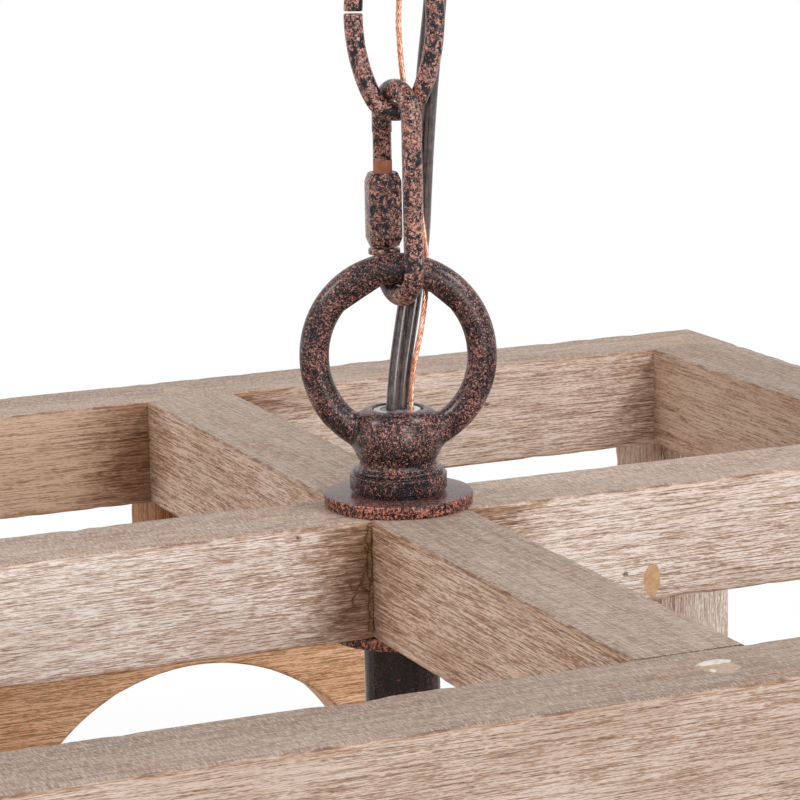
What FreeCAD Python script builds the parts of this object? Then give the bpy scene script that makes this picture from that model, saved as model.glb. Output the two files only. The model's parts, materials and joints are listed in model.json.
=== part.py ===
"""Square wooden cage lantern that hangs from a ceiling on a short chain.

Four top rails, a cross of two rails let into each other, four corner posts and four bottom rails
make the cage, and each side holds a wooden ring on four short spokes. A cast loop, two washers
and a hollow threaded nipple clamp the cross. A stem below carries four candle lights. A quick
link and two chain links carry the cage from a second cast loop under a ceiling canopy.

Millimetres, +Z up, with the origin on the ceiling, in the middle of the mounting strap. The
ceiling hardware, chain and links are built in their own turned frame: u runs across the cast
loops, v runs through them, and turned() brings both into X and Y.
"""
import FreeCAD, Part
import math
import os

os.makedirs("parts", exist_ok=True)

V = FreeCAD.Vector
UP = V(0, 0, 1)
X_AXIS = V(1, 0, 0)
Y_AXIS = V(0, 1, 0)

# ---- Driving dimensions: the wooden cage
cage_side = 300.0
cage_height = 238.0
rail_width = 22.5
rail_height = 25.4
wood_ease = 0.8
side_ring_hole_r = 50.5
side_ring_face = 22.5
side_ring_thick = 20.5
spoke_width = 19.0
glue_line = 0.1
dowel_r = 3.0
dowel_length = 24.0
dowel_spacing = 11.0
dowel_clearance = 0.1
wood_screw_head_r = 3.4
wood_screw_head_height = 2.4
wood_screw_shank_r = 1.9
wood_screw_length = 40.0
wood_screw_clearance = 0.1
plug_r = 3.6
plug_depth = 3.0

# ---- Driving dimensions: threaded pipe, washers and cast loops
thread_r = 4.85
thread_bore_r = 3.65
thread_clearance = 0.1
washer_r = 15.6
washer_thick = 2.7
loop_wire_r = 3.0
loop_ring_r = 17.8
loop_base_r = 9.95
loop_base_height = 4.0
loop_shoulder_r = 9.45
loop_shoulder_height = 4.8
loop_waist_r = 8.2
loop_waist_height = 5.6
loop_bulb_r = 9.35
loop_bulb_height = 9.8
loop_bulb_top_r = 8.45
loop_bulb_top_height = 16.5
loop_rim_r = 7.3
loop_rim_height = 17.7
loop_ring_height = 29.3
loop_mouth_r = 5.2
loop_turn_deg = -23.3
nipple_inset = 0.2

# ---- Driving dimensions: chain, quick link and canopy
link_gap = 0.32
chain_offset = 1.1
chain_wire_r = 1.97
chain_length = 43.2
chain_width = 20.7
chain_end_r = 5.3
chain_butt_gap = 0.7
quick_wire_r = 2.1
quick_side_shift = 3.05
quick_depth_shift = 5.9
quick_gate_gap = 6.0
quick_length = 47.2
quick_nut_across = 7.0
quick_nut_length = 15.5
quick_nut_rise = 3.0
quick_nut_travel = 8.0
quick_nut_turn_deg = 19.2
quick_nut_clearance = 0.08
quick_nut_chamfer = 0.8
quick_nut_chamfer_rise = 1.8
quick_collar_r = 3.4
quick_collar_height = 1.3
quick_collar_gap = 0.4
quick_thread_r = 1.95
canopy_r = 63.5
canopy_depth = 25.0
canopy_wall = 1.2
canopy_lip = 12.0
canopy_shoulder_r = 58.0
canopy_flat_r = 24.0
strap_length = 105.0
strap_width = 22.0
strap_thick = 2.0
strap_hole_spacing = 88.9
strap_hole_r = 2.4
lock_nut_across = 14.0
lock_nut_thick = 3.0
ground_screw_x = 26.0
ground_screw_r = 2.0
ground_head_r = 3.8
ground_head_height = 2.2

# ---- Driving dimensions: stem and candle lights
stem_r = 8.0
stem_wall = 1.2
stem_bushing_length = 14.0
cup_top_drop = 192.0
cup_r = 17.0
cup_height = 20.0
cup_wall = 1.5
cup_cover_thick = 3.0
finial_r = 7.0
finial_height = 15.0
finial_band_height = 2.0
finial_groove_r = 6.0
finial_groove_drop = 3.0
finial_taper_r = 2.5
finial_taper_drop = 14.0
light_count = 4
light_circle_r = 44.0
first_light_deg = 45.0
arm_r = 4.0
arm_bore_r = 3.0
arm_bend_r = 14.0
arm_rise = 11.0
arm_inset = 3.0
arm_gap = 0.1
drip_cup_r = 17.0
drip_cup_height = 6.0
drip_cup_wall = 1.2
drip_hub_r = 6.5
drip_hub_height = 5.0
drip_curve_r = 14.0
drip_curve_rise = 1.0
sleeve_r = 10.7
sleeve_wall = 0.8
sleeve_height = 35.0
socket_r = 9.0
socket_wall = 2.7
socket_drop = 2.0
lamp_cap_r = 6.0
lamp_cap_height = 17.0
lamp_glass_r = 16.0
lamp_neck_r = 7.0
lamp_neck_height = 2.0
lamp_flare_r = 13.5
lamp_flare_height = 13.0
lamp_belly_height = 26.0
lamp_taper_r = 10.6
lamp_taper_height = 52.0
lamp_tip_r = 1.2
lamp_glass_height = 76.0

# ---- Driving dimensions: flexible leads
cord_width = 4.8
cord_thick = 2.6
ground_wire_r = 0.6
lead_play = 0.1

# ---- Places that follow from the sizes above
loop_base_z = -canopy_depth - washer_thick
canopy_ring_z = loop_base_z - loop_ring_height
canopy_wire_z = canopy_ring_z - loop_ring_r

# A chain link is an oval of two tight end arcs and two wide side arcs.
chain_half_width = chain_width / 2 - chain_wire_r
chain_half_length = chain_length / 2 - chain_wire_r
chain_end_rise = chain_half_length - chain_end_r
chain_side_r = ((chain_half_width ** 2 + chain_end_rise ** 2 - chain_end_r ** 2)
                / (2 * (chain_half_width - chain_end_r)))
chain_side_shift = chain_side_r - chain_half_width


def chain_seat(wire_r):
    """How far over a link's middle the wire that it hangs on lies: in the end arc if the wire
    is thin enough, and otherwise lower, between the two sides."""
    free = chain_wire_r + link_gap + wire_r
    in_the_end = chain_half_length - free
    between_sides = math.sqrt((chain_side_r - free) ** 2 - chain_side_shift ** 2)
    return min(in_the_end, between_sides)


upper_middle_z = canopy_wire_z - chain_seat(loop_wire_r)
upper_wire_z = upper_middle_z - chain_half_length
lower_middle_z = upper_wire_z - chain_seat(chain_wire_r)
lower_wire_z = lower_middle_z - chain_half_length

# The quick link crosses the chain link and the cast loop askew, so its rod takes more room there.
quick_radius = math.hypot(quick_side_shift, quick_depth_shift)
quick_askew_r = quick_wire_r * quick_radius / quick_depth_shift
quick_top = lower_middle_z - chain_seat(quick_askew_r)
quick_wire_z = quick_top + 2 * quick_wire_r - quick_length
lantern_wire_z = quick_wire_z + quick_askew_r + link_gap + loop_wire_r
rail_top = lantern_wire_z - loop_ring_r - loop_ring_height - washer_thick
rail_bottom = rail_top - rail_height
cage_bottom = rail_top - cage_height
half_side = cage_side / 2
inner_half = half_side - rail_width
rail_middle = half_side - rail_width / 2
ring_centre_z = rail_top - cage_height / 2
side_ring_outer_r = side_ring_hole_r + side_ring_face


# ---- Plain shapes
def save(name, *solids):
    """Write one named piece, or a group of like pieces, as a STEP file."""
    shape = solids[0] if len(solids) == 1 else Part.makeCompound(list(solids))
    for solid in shape.Solids:
        if not solid.isValid():
            raise ValueError(name + " is not a valid solid")
    shape.exportStep("parts/" + name + ".step")
    print(name, len(shape.Solids), "solids", round(shape.Volume), "mm3")


def line(start, end):
    return Part.LineSegment(start, end).toShape()


def arc(start, middle, end):
    return Part.Arc(start, middle, end).toShape()


def rod(radius, low, high, x=0.0, y=0.0):
    return Part.makeCylinder(radius, high - low, V(x, y, low))


def pipe(radius, bore, low, high, x=0.0, y=0.0):
    return rod(radius, low, high, x, y).cut(rod(bore, low, high, x, y))


def block(x0, x1, y0, y1, z0, z1):
    return Part.makeBox(x1 - x0, y1 - y0, z1 - z0, V(x0, y0, z0))


def eased(box, direction, radius):
    """Round the edges of a board that run along its grain."""
    along = [e for e in box.Edges if e.tangentAt(e.FirstParameter).cross(direction).Length < 0.01]
    return box.makeFillet(radius, along)


def hexagon(across, low, high):
    """A hexagonal bar, its size measured across the flats."""
    corner = across / math.sqrt(3)
    points = [V(corner * math.cos(math.radians(a)), corner * math.sin(math.radians(a)), low)
              for a in range(0, 361, 60)]
    return Part.Face(Part.makePolygon(points)).extrude(V(0, 0, high - low))


def outline(points):
    """A closed flat outline in the XZ plane. A point is (r, z), and (r, z, r2, z2) is an arc
    that passes through r, z and ends at r2, z2."""
    edges = []
    here = V(points[0][0], 0, points[0][1])
    for point in points[1:] + [points[0][:2]]:
        there = V(point[-2], 0, point[-1])
        if len(point) == 4:
            edges.append(arc(here, V(point[0], 0, point[1]), there))
        elif (there - here).Length > 1e-6:
            edges.append(line(here, there))
        here = there
    return Part.Face(Part.Wire(edges))


def turning(points, x=0.0, y=0.0):
    """A turned piece: the outline spun once round Z."""
    solid = outline(points).revolve(V(0, 0, 0), UP, 360)
    solid = Part.Solid(solid) if solid.ShapeType == "Shell" else solid
    return solid.translated(V(x, y, 0))


def turned(shape):
    """Bring a piece from the hardware's u, v frame into X and Y."""
    return shape.rotated(V(0, 0, 0), UP, loop_turn_deg)


def hung(shape):
    """Bring a link into X and Y, beside the loops' middle, where the chain came to hang."""
    return turned(shape.translated(V(chain_offset, 0, 0)))


def spun(shape, degrees):
    return shape.rotated(V(0, 0, 0), UP, degrees)


def rod_along(wire, radius):
    """A round rod that follows a wire."""
    start = wire.OrderedEdges[0]
    first = start.firstVertex(True).Point
    heading = start.tangentAt(start.FirstParameter)
    if start.Orientation == "Reversed":
        heading = start.tangentAt(start.LastParameter).negative()
    section = Part.Wire(Part.makeCircle(radius, first, heading))
    return wire.makePipeShell([section], True, False)


# ---- Wooden cage. Every side is built as the front one, at -Y, and spun into place.
SIDES = {"front": 0, "right": 90, "back": 180, "left": 270}


def wood_screw(x, y, top, down):
    """A countersunk screw whose head starts at top and that points down (-1) or up (1)."""
    cone = [(0, 0), (wood_screw_head_r, 0), (wood_screw_shank_r, wood_screw_head_height),
            (wood_screw_shank_r, wood_screw_length - 2 * wood_screw_shank_r),
            (0, wood_screw_length)]
    solid = turning([(r, top + down * z) for r, z in cone], x, y)
    return solid


def screw_hole(x, y, face, into):
    """The plug's counterbore and the screw's hole, cut from a face of the frame."""
    grow = wood_screw_clearance
    bottom = face + into * (plug_depth + wood_screw_head_height + grow)
    deep = face + into * (plug_depth + wood_screw_length + grow)
    wide = rod(plug_r + grow, min(face, bottom), max(face, bottom), x, y)
    return wide.fuse(rod(wood_screw_shank_r + grow, min(face, deep), max(face, deep), x, y))


def joint_places():
    """The X and Y of the frame's vertical screws: one in each corner and one on each side."""
    corners = [(a * rail_middle, b * rail_middle) for a in (-1, 1) for b in (-1, 1)]
    return corners + [(0, -rail_middle), (rail_middle, 0), (0, rail_middle), (-rail_middle, 0)]


top_holes = [screw_hole(x, y, rail_top, -1) for x, y in joint_places()]
bottom_holes = [screw_hole(x, y, cage_bottom, 1) for x, y in joint_places()]


def dowel_places():
    """The two dowels of the front end of a cross rail, across the joint."""
    return [(side * dowel_spacing / 2, -inner_half) for side in (-1, 1)]


def dowel(x, y, radius, length):
    middle = rail_top - rail_height / 2
    return Part.makeCylinder(radius, length, V(x, y - length / 2, middle), Y_AXIS)


dowel_holes = [spun(dowel(x, y, dowel_r + dowel_clearance, dowel_length + 2 * dowel_clearance), turn)
               for turn in SIDES.values() for x, y in dowel_places()]


def frame_rail(side, turn, low, holes):
    """One outer rail: the front and back ones run through to the corners."""
    reach = half_side if side in ("front", "back") else inner_half
    board = block(-reach, reach, -half_side, -inner_half, low, low + rail_height)
    board = spun(eased(board, X_AXIS, wood_ease), turn)
    return board.cut(Part.makeCompound(holes))


def side_ring():
    """The front ring, with its round edges eased."""
    origin = V(0, -rail_middle - side_ring_thick / 2, ring_centre_z)
    disc = Part.makeCylinder(side_ring_outer_r, side_ring_thick, origin, Y_AXIS)
    ring = disc.cut(Part.makeCylinder(side_ring_hole_r, side_ring_thick, origin, Y_AXIS))
    rims = [e for e in ring.Edges if isinstance(e.Curve, Part.Circle) and e.Length > cage_side / 2]
    return ring.makeFillet(wood_ease, rims)


def side_spokes():
    """The front ring's four short spokes: up and down to the rails, left and right to the posts."""
    near = -rail_middle - side_ring_thick / 2
    far = near + side_ring_thick
    half = spoke_width / 2
    seat = Part.makeCylinder(side_ring_outer_r + glue_line, side_ring_thick,
                             V(0, near, ring_centre_z), Y_AXIS)
    boards = [block(-half, half, near, far, ring_centre_z, rail_bottom),
              block(-half, half, near, far, cage_bottom + rail_height, ring_centre_z),
              block(-inner_half, 0, near, far, ring_centre_z - half, ring_centre_z + half),
              block(0, inner_half, near, far, ring_centre_z - half, ring_centre_z + half)]
    grain = [UP, UP, X_AXIS, X_AXIS]
    return [eased(b, g, wood_ease).cut(seat) for b, g in zip(boards, grain)]


def cross_rail(turn, notch_low, notch_high):
    """A rail of the cross, half cut away where it meets the other one."""
    half = rail_width / 2
    board = block(-half, half, -inner_half, inner_half, rail_bottom, rail_top)
    board = eased(board, Y_AXIS, wood_ease)
    board = board.cut(block(-half, half, -half, half, notch_low, notch_high))
    board = board.cut(rod(thread_r + thread_clearance, rail_bottom, rail_top))
    return spun(board, turn).cut(Part.makeCompound(dowel_holes))


for side, turn in SIDES.items():
    save("top_rail_" + side, frame_rail(side, turn, rail_bottom, top_holes + dowel_holes))
    save("bottom_rail_" + side, frame_rail(side, turn, cage_bottom, bottom_holes))
    save("side_ring_" + side, spun(side_ring(), turn))
    spokes = [spun(s, turn).cut(Part.makeCompound(top_holes + bottom_holes)) for s in side_spokes()]
    save("side_spokes_" + side, *spokes)

lap_z = rail_top - rail_height / 2
save("cross_rail_front_back", cross_rail(0, rail_bottom, lap_z))
save("cross_rail_left_right", cross_rail(90, lap_z, rail_top))

for name, x_side, y_side in (("front_left", -1, -1), ("front_right", 1, -1),
                             ("back_left", -1, 1), ("back_right", 1, 1)):
    x_mid = x_side * rail_middle
    y_mid = y_side * rail_middle
    half = rail_width / 2
    post = block(x_mid - half, x_mid + half, y_mid - half, y_mid + half,
                 cage_bottom + rail_height, rail_bottom)
    post = eased(post, UP, wood_ease).cut(Part.makeCompound(top_holes + bottom_holes))
    save("corner_post_" + name, post)

save("frame_screws",
     *[wood_screw(x, y, rail_top - plug_depth, -1) for x, y in joint_places()],
     *[wood_screw(x, y, cage_bottom + plug_depth, 1) for x, y in joint_places()])
save("putty_plugs",
     *[rod(plug_r, rail_top - plug_depth, rail_top, x, y) for x, y in joint_places()],
     *[rod(plug_r, cage_bottom, cage_bottom + plug_depth, x, y) for x, y in joint_places()])
save("cross_rail_dowels", *[spun(dowel(x, y, dowel_r, dowel_length), turn)
                            for turn in SIDES.values() for x, y in dowel_places()])


# ---- Cast loops, washers and threaded pipe
def washer(low):
    return pipe(washer_r, thread_r + thread_clearance, low, low + washer_thick)


def cast_loop():
    """A turned hub that grows into a ring, standing on Z 0 with the ring above it."""
    profile = [(0, 0), (loop_base_r, 0), (loop_base_r, loop_base_height),
               (loop_shoulder_r, loop_shoulder_height), (loop_waist_r, loop_waist_height),
               (loop_bulb_r, loop_bulb_height, loop_bulb_top_r, loop_bulb_top_height),
               (loop_rim_r, loop_rim_height), (0, loop_rim_height)]
    ring = Part.makeTorus(loop_ring_r, loop_wire_r, V(0, 0, loop_ring_height), Y_AXIS)
    bore = rod(thread_r + thread_clearance, 0, loop_rim_height)
    mouth_height = loop_rim_height - nipple_inset
    mouth = rod(loop_mouth_r, mouth_height, loop_rim_height)
    clear = rod(thread_r + thread_clearance, loop_rim_height, loop_ring_height)
    return turning(profile).fuse(ring).cut(bore.fuse(mouth).fuse(clear))


def hollow_thread(low, high):
    """A nipple: a threaded pipe that the leads run through."""
    return pipe(thread_r, thread_bore_r, low, high)


def hexagon_nut(across, low, high):
    return hexagon(across, low, high).cut(rod(thread_r + thread_clearance, low, high))


loop = cast_loop()
loop_floor = rail_top + washer_thick
save("cast_loop", turned(loop.translated(V(0, 0, loop_floor))))
save("cross_washers", washer(rail_top), washer(rail_bottom - washer_thick))
stem_top = rail_bottom - washer_thick
nipple_top = loop_floor + loop_rim_height - nipple_inset
save("cross_nipple", hollow_thread(stem_top - stem_bushing_length, nipple_top))

hung_loop = loop.rotated(V(0, 0, 0), X_AXIS, 180).translated(V(0, 0, loop_base_z))
save("canopy_loop", turned(hung_loop))
save("canopy_washer", washer(loop_base_z))
canopy_mouth = loop_base_z - loop_rim_height + nipple_inset
save("canopy_nipple", hollow_thread(canopy_mouth, -lead_play))


# ---- Chain links and quick link, each a bent wire in the plane of u and Z
def chain_link(middle_z):
    """An oval link whose butt joint is half way up its left side."""
    end_centre = V(0, 0, chain_end_rise)
    side_centre = V(chain_side_shift, 0, 0)
    outward = end_centre - side_centre
    outward.normalize()
    meet = end_centre + outward * chain_end_r
    slope = math.atan2(meet.z, -outward.x * chain_side_r)
    butt = chain_butt_gap / 2 / chain_side_r

    def left(angle, flip=1):
        across = chain_side_shift - chain_side_r * math.cos(angle)
        return V(flip * across, 0, chain_side_r * math.sin(angle))

    top = V(0, 0, chain_half_length)
    edges = [arc(left(butt), left((butt + slope) / 2), meet),
             arc(meet, top, V(-meet.x, 0, meet.z)),
             arc(V(-meet.x, 0, meet.z), left(0, -1), V(-meet.x, 0, -meet.z)),
             arc(V(-meet.x, 0, -meet.z), -top, V(meet.x, 0, -meet.z)),
             arc(V(meet.x, 0, -meet.z), left(-(butt + slope) / 2), left(-butt))]
    return rod_along(Part.Wire(edges), chain_wire_r).translated(V(0, 0, middle_z))


save("chain_link_upper", hung(spun(chain_link(upper_middle_z), 90)))
save("chain_link_lower", hung(chain_link(lower_middle_z)))

nut_low = quick_wire_z + quick_radius + quick_nut_rise
nut_high = nut_low + quick_nut_length
gate_middle = (nut_low + nut_high) / 2
quick_turn_deg = math.degrees(math.atan2(-quick_depth_shift, quick_side_shift))


def quick_link_rod():
    """The quick link's rod, with its stop collar and its thinner threaded ends."""
    half = quick_radius
    high = quick_top - half
    low = quick_wire_z + half
    gate_low = gate_middle - quick_gate_gap / 2
    gate_high = gate_middle + quick_gate_gap / 2
    bends = Part.Wire([line(V(-half, 0, gate_high), V(-half, 0, high)),
                       arc(V(-half, 0, high), V(0, 0, quick_top), V(half, 0, high)),
                       line(V(half, 0, high), V(half, 0, low)),
                       arc(V(half, 0, low), V(0, 0, quick_wire_z), V(-half, 0, low)),
                       line(V(-half, 0, low), V(-half, 0, gate_low))])
    link = rod_along(bends, quick_wire_r)
    collar_top = nut_low - quick_collar_gap
    thread_high = nut_high + quick_nut_travel + quick_collar_gap
    link = link.cut(pipe(quick_collar_r, quick_thread_r, collar_top, thread_high, -half))
    collar = rod(quick_collar_r, collar_top - quick_collar_height, collar_top, -half)
    return link.fuse(collar.makeFillet(quick_collar_height / 3, collar.Edges))


def quick_link_nut():
    """The sleeve nut that closes the quick link, its ends chamfered."""
    corner = quick_nut_across / math.sqrt(3)
    narrow = corner - quick_nut_chamfer
    envelope = turning([(0, nut_low), (narrow, nut_low), (corner, nut_low + quick_nut_chamfer_rise),
                        (corner, nut_high - quick_nut_chamfer_rise), (narrow, nut_high), (0, nut_high)])
    bar = hexagon(quick_nut_across, nut_low, nut_high).common(envelope)
    bar = bar.cut(rod(quick_thread_r + quick_nut_clearance, nut_low, nut_high))
    return spun(bar, quick_nut_turn_deg).translated(V(-quick_radius, 0, 0))


save("quick_link_rod", hung(spun(quick_link_rod(), quick_turn_deg)))
save("quick_link_nut", hung(spun(quick_link_nut(), quick_turn_deg)))


# ---- Ceiling canopy, strap and its fasteners
def canopy():
    """A spun pan, open towards the ceiling, with a hole for the nipple."""
    wall = canopy_wall
    floor = -canopy_depth
    hole = thread_r + thread_clearance
    knee_r = (canopy_shoulder_r + canopy_flat_r) / 2
    knee_z = floor + (canopy_depth - canopy_lip) / 4
    return turning([(hole, floor), (canopy_flat_r, floor),
                    (knee_r, knee_z, canopy_shoulder_r, -canopy_lip), (canopy_r, -wall), (canopy_r, 0),
                    (canopy_r - wall, 0), (canopy_shoulder_r - wall, -canopy_lip + wall),
                    (knee_r - wall / 3, knee_z + wall, canopy_flat_r, floor + wall),
                    (hole, floor + wall)])


def strap():
    """The strap that is screwed to the ceiling box."""
    half = strap_width / 2
    bar = block(-strap_length / 2, strap_length / 2, -half, half, -strap_thick, 0)
    corners = [e for e in bar.Edges if e.tangentAt(e.FirstParameter).cross(UP).Length < 0.01]
    bar = bar.makeFillet(half / 2, corners)
    holes = [rod(strap_hole_r, -strap_thick, 0, side * strap_hole_spacing / 2) for side in (-1, 1)]
    holes.append(rod(thread_r + thread_clearance, -strap_thick, 0))
    holes.append(rod(ground_screw_r + thread_clearance, -strap_thick, 0, ground_screw_x))
    return bar.cut(Part.makeCompound(holes))


save("canopy", canopy())
save("ceiling_strap", strap())
save("strap_lock_nut", hexagon_nut(lock_nut_across, -strap_thick - lock_nut_thick, -strap_thick))
head_low = -strap_thick - ground_head_height
save("ground_screw", turning([(0, head_low), (ground_head_r, head_low), (ground_head_r, -strap_thick),
                              (ground_screw_r, -strap_thick),
                              (ground_screw_r, -lead_play), (0, -lead_play)], ground_screw_x))

# ---- Stem and candle lights
cup_top = rail_top - cup_top_drop
cup_floor = cup_top - cup_height
cover_floor = cup_floor - cup_cover_thick
stem_inner_r = stem_r - stem_wall
save("stem_tube", pipe(stem_r, stem_inner_r, cup_top, stem_top))
bushing_r = stem_inner_r - thread_clearance
bushing_bore = thread_r + thread_clearance
save("stem_bushings", pipe(bushing_r, bushing_bore, stem_top - stem_bushing_length, stem_top),
     pipe(bushing_r, bushing_bore, cup_top, cup_top + stem_bushing_length))
finial_grip = finial_height / 2
save("cup_nipple", hollow_thread(cover_floor - finial_grip, cup_top + stem_bushing_length))

arm_z = cup_top - cup_height / 2
arm_start = cup_r - cup_wall - arm_inset
arm_corner = light_circle_r - arm_bend_r
light_foot = arm_z + arm_bend_r
arm_top = light_foot + arm_rise
drip_floor = light_foot + drip_hub_height
lights = [first_light_deg + i * 360.0 / light_count for i in range(light_count)]


def light_arm():
    """A tube that runs out from the cup and bends up to a light."""
    elbow = V(arm_corner + arm_bend_r * math.sin(math.pi / 4), 0,
              arm_z + arm_bend_r * (1 - math.cos(math.pi / 4)))
    corner = V(arm_corner, 0, arm_z)
    foot = V(light_circle_r, 0, light_foot)
    path = Part.Wire([line(V(arm_start, 0, arm_z), corner), arc(corner, elbow, foot),
                      line(foot, V(light_circle_r, 0, arm_top))])
    return rod_along(path, arm_r).cut(rod_along(path, arm_bore_r))


def cluster_cup():
    """The cup that the arms and the stem meet in, open below."""
    lift = 2 * cup_wall
    shell = turning([(bushing_bore, cup_top - cup_wall), (bushing_bore, cup_top), (stem_r, cup_top),
                     (cup_r - cup_wall, cup_top - lift / 2, cup_r, cup_top - 2 * lift),
                     (cup_r, cup_floor), (cup_r - cup_wall, cup_floor),
                     (cup_r - cup_wall, cup_top - 2 * lift),
                     (stem_r + cup_wall, cup_top - cup_wall)])
    holes = [spun(Part.makeCylinder(arm_r + arm_gap, cup_r, V(0, 0, arm_z), X_AXIS), a) for a in lights]
    return shell.cut(Part.makeCompound(holes))


def cup_cover():
    edge = cup_cover_thick / 2
    return turning([(bushing_bore, cover_floor), (cup_r - edge, cover_floor),
                    (cup_r, cup_floor - edge), (cup_r, cup_floor), (bushing_bore, cup_floor)])


def finial():
    """The turned knob that closes the cup, screwed on the end of its nipple."""
    knob = turning([(0, cover_floor), (finial_r, cover_floor), (finial_r, cover_floor - finial_band_height),
                    (finial_groove_r, cover_floor - finial_groove_drop),
                    (finial_r, cover_floor - finial_grip, finial_taper_r, cover_floor - finial_taper_drop),
                    (0, cover_floor - finial_height)])
    grip = rod(thread_r + thread_clearance, cover_floor - finial_grip - thread_clearance, cover_floor)
    return knob.cut(grip)


def drip_cup():
    """A shallow turned dish with a hub that sits on the arm."""
    hole = arm_r + arm_gap
    wall = drip_cup_wall
    rim_z = drip_floor + drip_cup_height
    return turning([(hole, light_foot), (drip_hub_r, light_foot), (drip_hub_r, drip_floor),
                    (drip_curve_r, drip_floor + drip_curve_rise, drip_cup_r, rim_z),
                    (drip_cup_r - wall, rim_z),
                    (drip_curve_r - wall, drip_floor + wall + drip_curve_rise,
                     sleeve_r, drip_floor + wall),
                    (hole, drip_floor + wall)], light_circle_r)


sleeve_foot = drip_floor + drip_cup_wall
sleeve_top = sleeve_foot + sleeve_height
socket_top = sleeve_top - socket_drop
lamp_foot = socket_top - lamp_cap_height


def lamp_socket():
    body = rod(socket_r, arm_top, socket_top, light_circle_r)
    well = rod(socket_r - socket_wall, lamp_foot - lead_play, socket_top, light_circle_r)
    return body.cut(well)


def lamp_glass():
    """A candle lamp's closed glass, solid as far as its outer shape goes."""
    foot = socket_top
    tip = foot + lamp_glass_height
    return turning([(0, foot), (lamp_neck_r, foot), (lamp_neck_r, foot + lamp_neck_height),
                    (lamp_flare_r, foot + lamp_flare_height, lamp_glass_r, foot + lamp_belly_height),
                    (lamp_taper_r, foot + lamp_taper_height, lamp_tip_r, tip), (0, tip)],
                   light_circle_r)


def lamp_cap():
    return rod(lamp_cap_r, lamp_foot, socket_top, light_circle_r)


def candle_sleeve():
    return pipe(sleeve_r, sleeve_r - sleeve_wall, sleeve_foot, sleeve_top, light_circle_r)


save("cluster_cup", cluster_cup())
save("cup_cover", cup_cover())
save("finial", finial())
for name, make in (("light_arms", light_arm), ("drip_cups", drip_cup), ("candle_sleeves", candle_sleeve),
                   ("lamp_sockets", lamp_socket), ("lamp_caps", lamp_cap), ("lamp_glasses", lamp_glass)):
    piece = make()
    save(name, *[spun(piece, angle) for angle in lights])

# ---- Flexible leads. Points are (u, v, height over the rails), chosen from the object.
POWER_ROUTE = [(-0.5, 0.0, 7.0), (-0.35, 0.1, 21.5), (2.3, 3.4, 38.0), (5.2, 7.8, 53.5), (5.9, 7.6, 66.0),
               (6.8, 7.0, 79.0), (8.0, 6.0, 92.0), (9.7, 5.3, 105.0), (10.4, 5.3, 118.0),
               (10.0, 5.8, 130.0), (8.8, 6.7, 141.0), (6.8, 7.3, 151.0), (3.0, 4.2, 165.0),
               (-0.3, 0.2, 181.0), (-0.5, 0.0, 195.0)]
GROUND_ROUTE = [(2.8, 0.0, 11.0), (2.8, 0.0, 21.5), (3.5, -0.3, 29.0), (5.6, 0.5, 37.5), (7.1, 4.5, 48.5),
                (6.2, 4.4, 57.5), (4.9, 4.0, 67.0), (3.9, 3.7, 77.0), (2.9, 3.7, 86.0), (2.1, 3.5, 94.0),
                (1.8, 3.5, 104.0), (3.9, 3.6, 115.0), (5.1, 3.5, 127.0), (5.1, 3.9, 139.0),
                (4.7, 4.6, 150.5), (5.6, 1.4, 160.5), (5.0, 0.0, 170.5), (2.8, -0.05, 180.5),
                (2.8, 0.0, 191.0)]
# A lead is cut into the stretches between the moving links, in the middle of these runs.
POWER_CUTS = (3, 6, 9)
GROUND_CUTS = (5, 9, 12)
STRETCHES = ("lantern", "quick_link", "chain", "canopy")


def bend(before, corner, after):
    """The arc at a corner of a route: its start, middle, end and radius."""
    back = before - corner
    ahead = after - corner
    reach = 0.45 * min(back.Length, ahead.Length)
    back.normalize()
    ahead.normalize()
    half_turn = (math.pi - back.getAngle(ahead)) / 2
    radius = reach / math.tan(half_turn)
    inward = back + ahead
    inward.normalize()
    middle = corner + inward * (radius / math.cos(half_turn) - radius)
    return corner + back * reach, middle, corner + ahead * reach, radius


def stretches(route, cuts):
    """The route's straight runs and arcs, as one wire for each stretch."""
    points = [V(u, v, rail_top + height) for u, v, height in route]
    found = []
    edges = []
    here = points[0]
    radii = []
    for i in range(1, len(points) - 1):
        start, middle, end, radius = bend(points[i - 1], points[i], points[i + 1])
        radii.append(round(radius))
        edges.append(line(here, start))
        edges.append(arc(start, middle, end))
        here = end
        if i in cuts:
            half_way = (points[i] + points[i + 1]) * 0.5
            edges.append(line(here, half_way))
            found.append(Part.Wire(edges))
            edges = []
            here = half_way
    edges.append(line(here, points[-1]))
    found.append(Part.Wire(edges))
    return found, radii


def flat_section(place, heading):
    """The two-core cord's section: round edges, its wide way across the loops."""
    across = X_AXIS - heading * X_AXIS.dot(heading)
    across.normalize()
    thin = heading.cross(across)
    flat = cord_width / 2 - cord_thick / 2
    round_r = cord_thick / 2
    corners = [place + across * (a * flat) + thin * (b * round_r)
               for a, b in ((-1, -1), (1, -1), (1, 1), (-1, 1))]
    ends = [place + across * (a * cord_width / 2) for a in (1, -1)]
    return Part.Wire([line(corners[0], corners[1]), arc(corners[1], ends[0], corners[2]),
                      line(corners[2], corners[3]), arc(corners[3], ends[1], corners[0])])


def flat_cord(wire):
    first = wire.OrderedEdges[0]
    heading = first.tangentAt(first.FirstParameter)
    section = flat_section(first.valueAt(first.FirstParameter), heading)
    return wire.makePipeShell([section], True, False)


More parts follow.
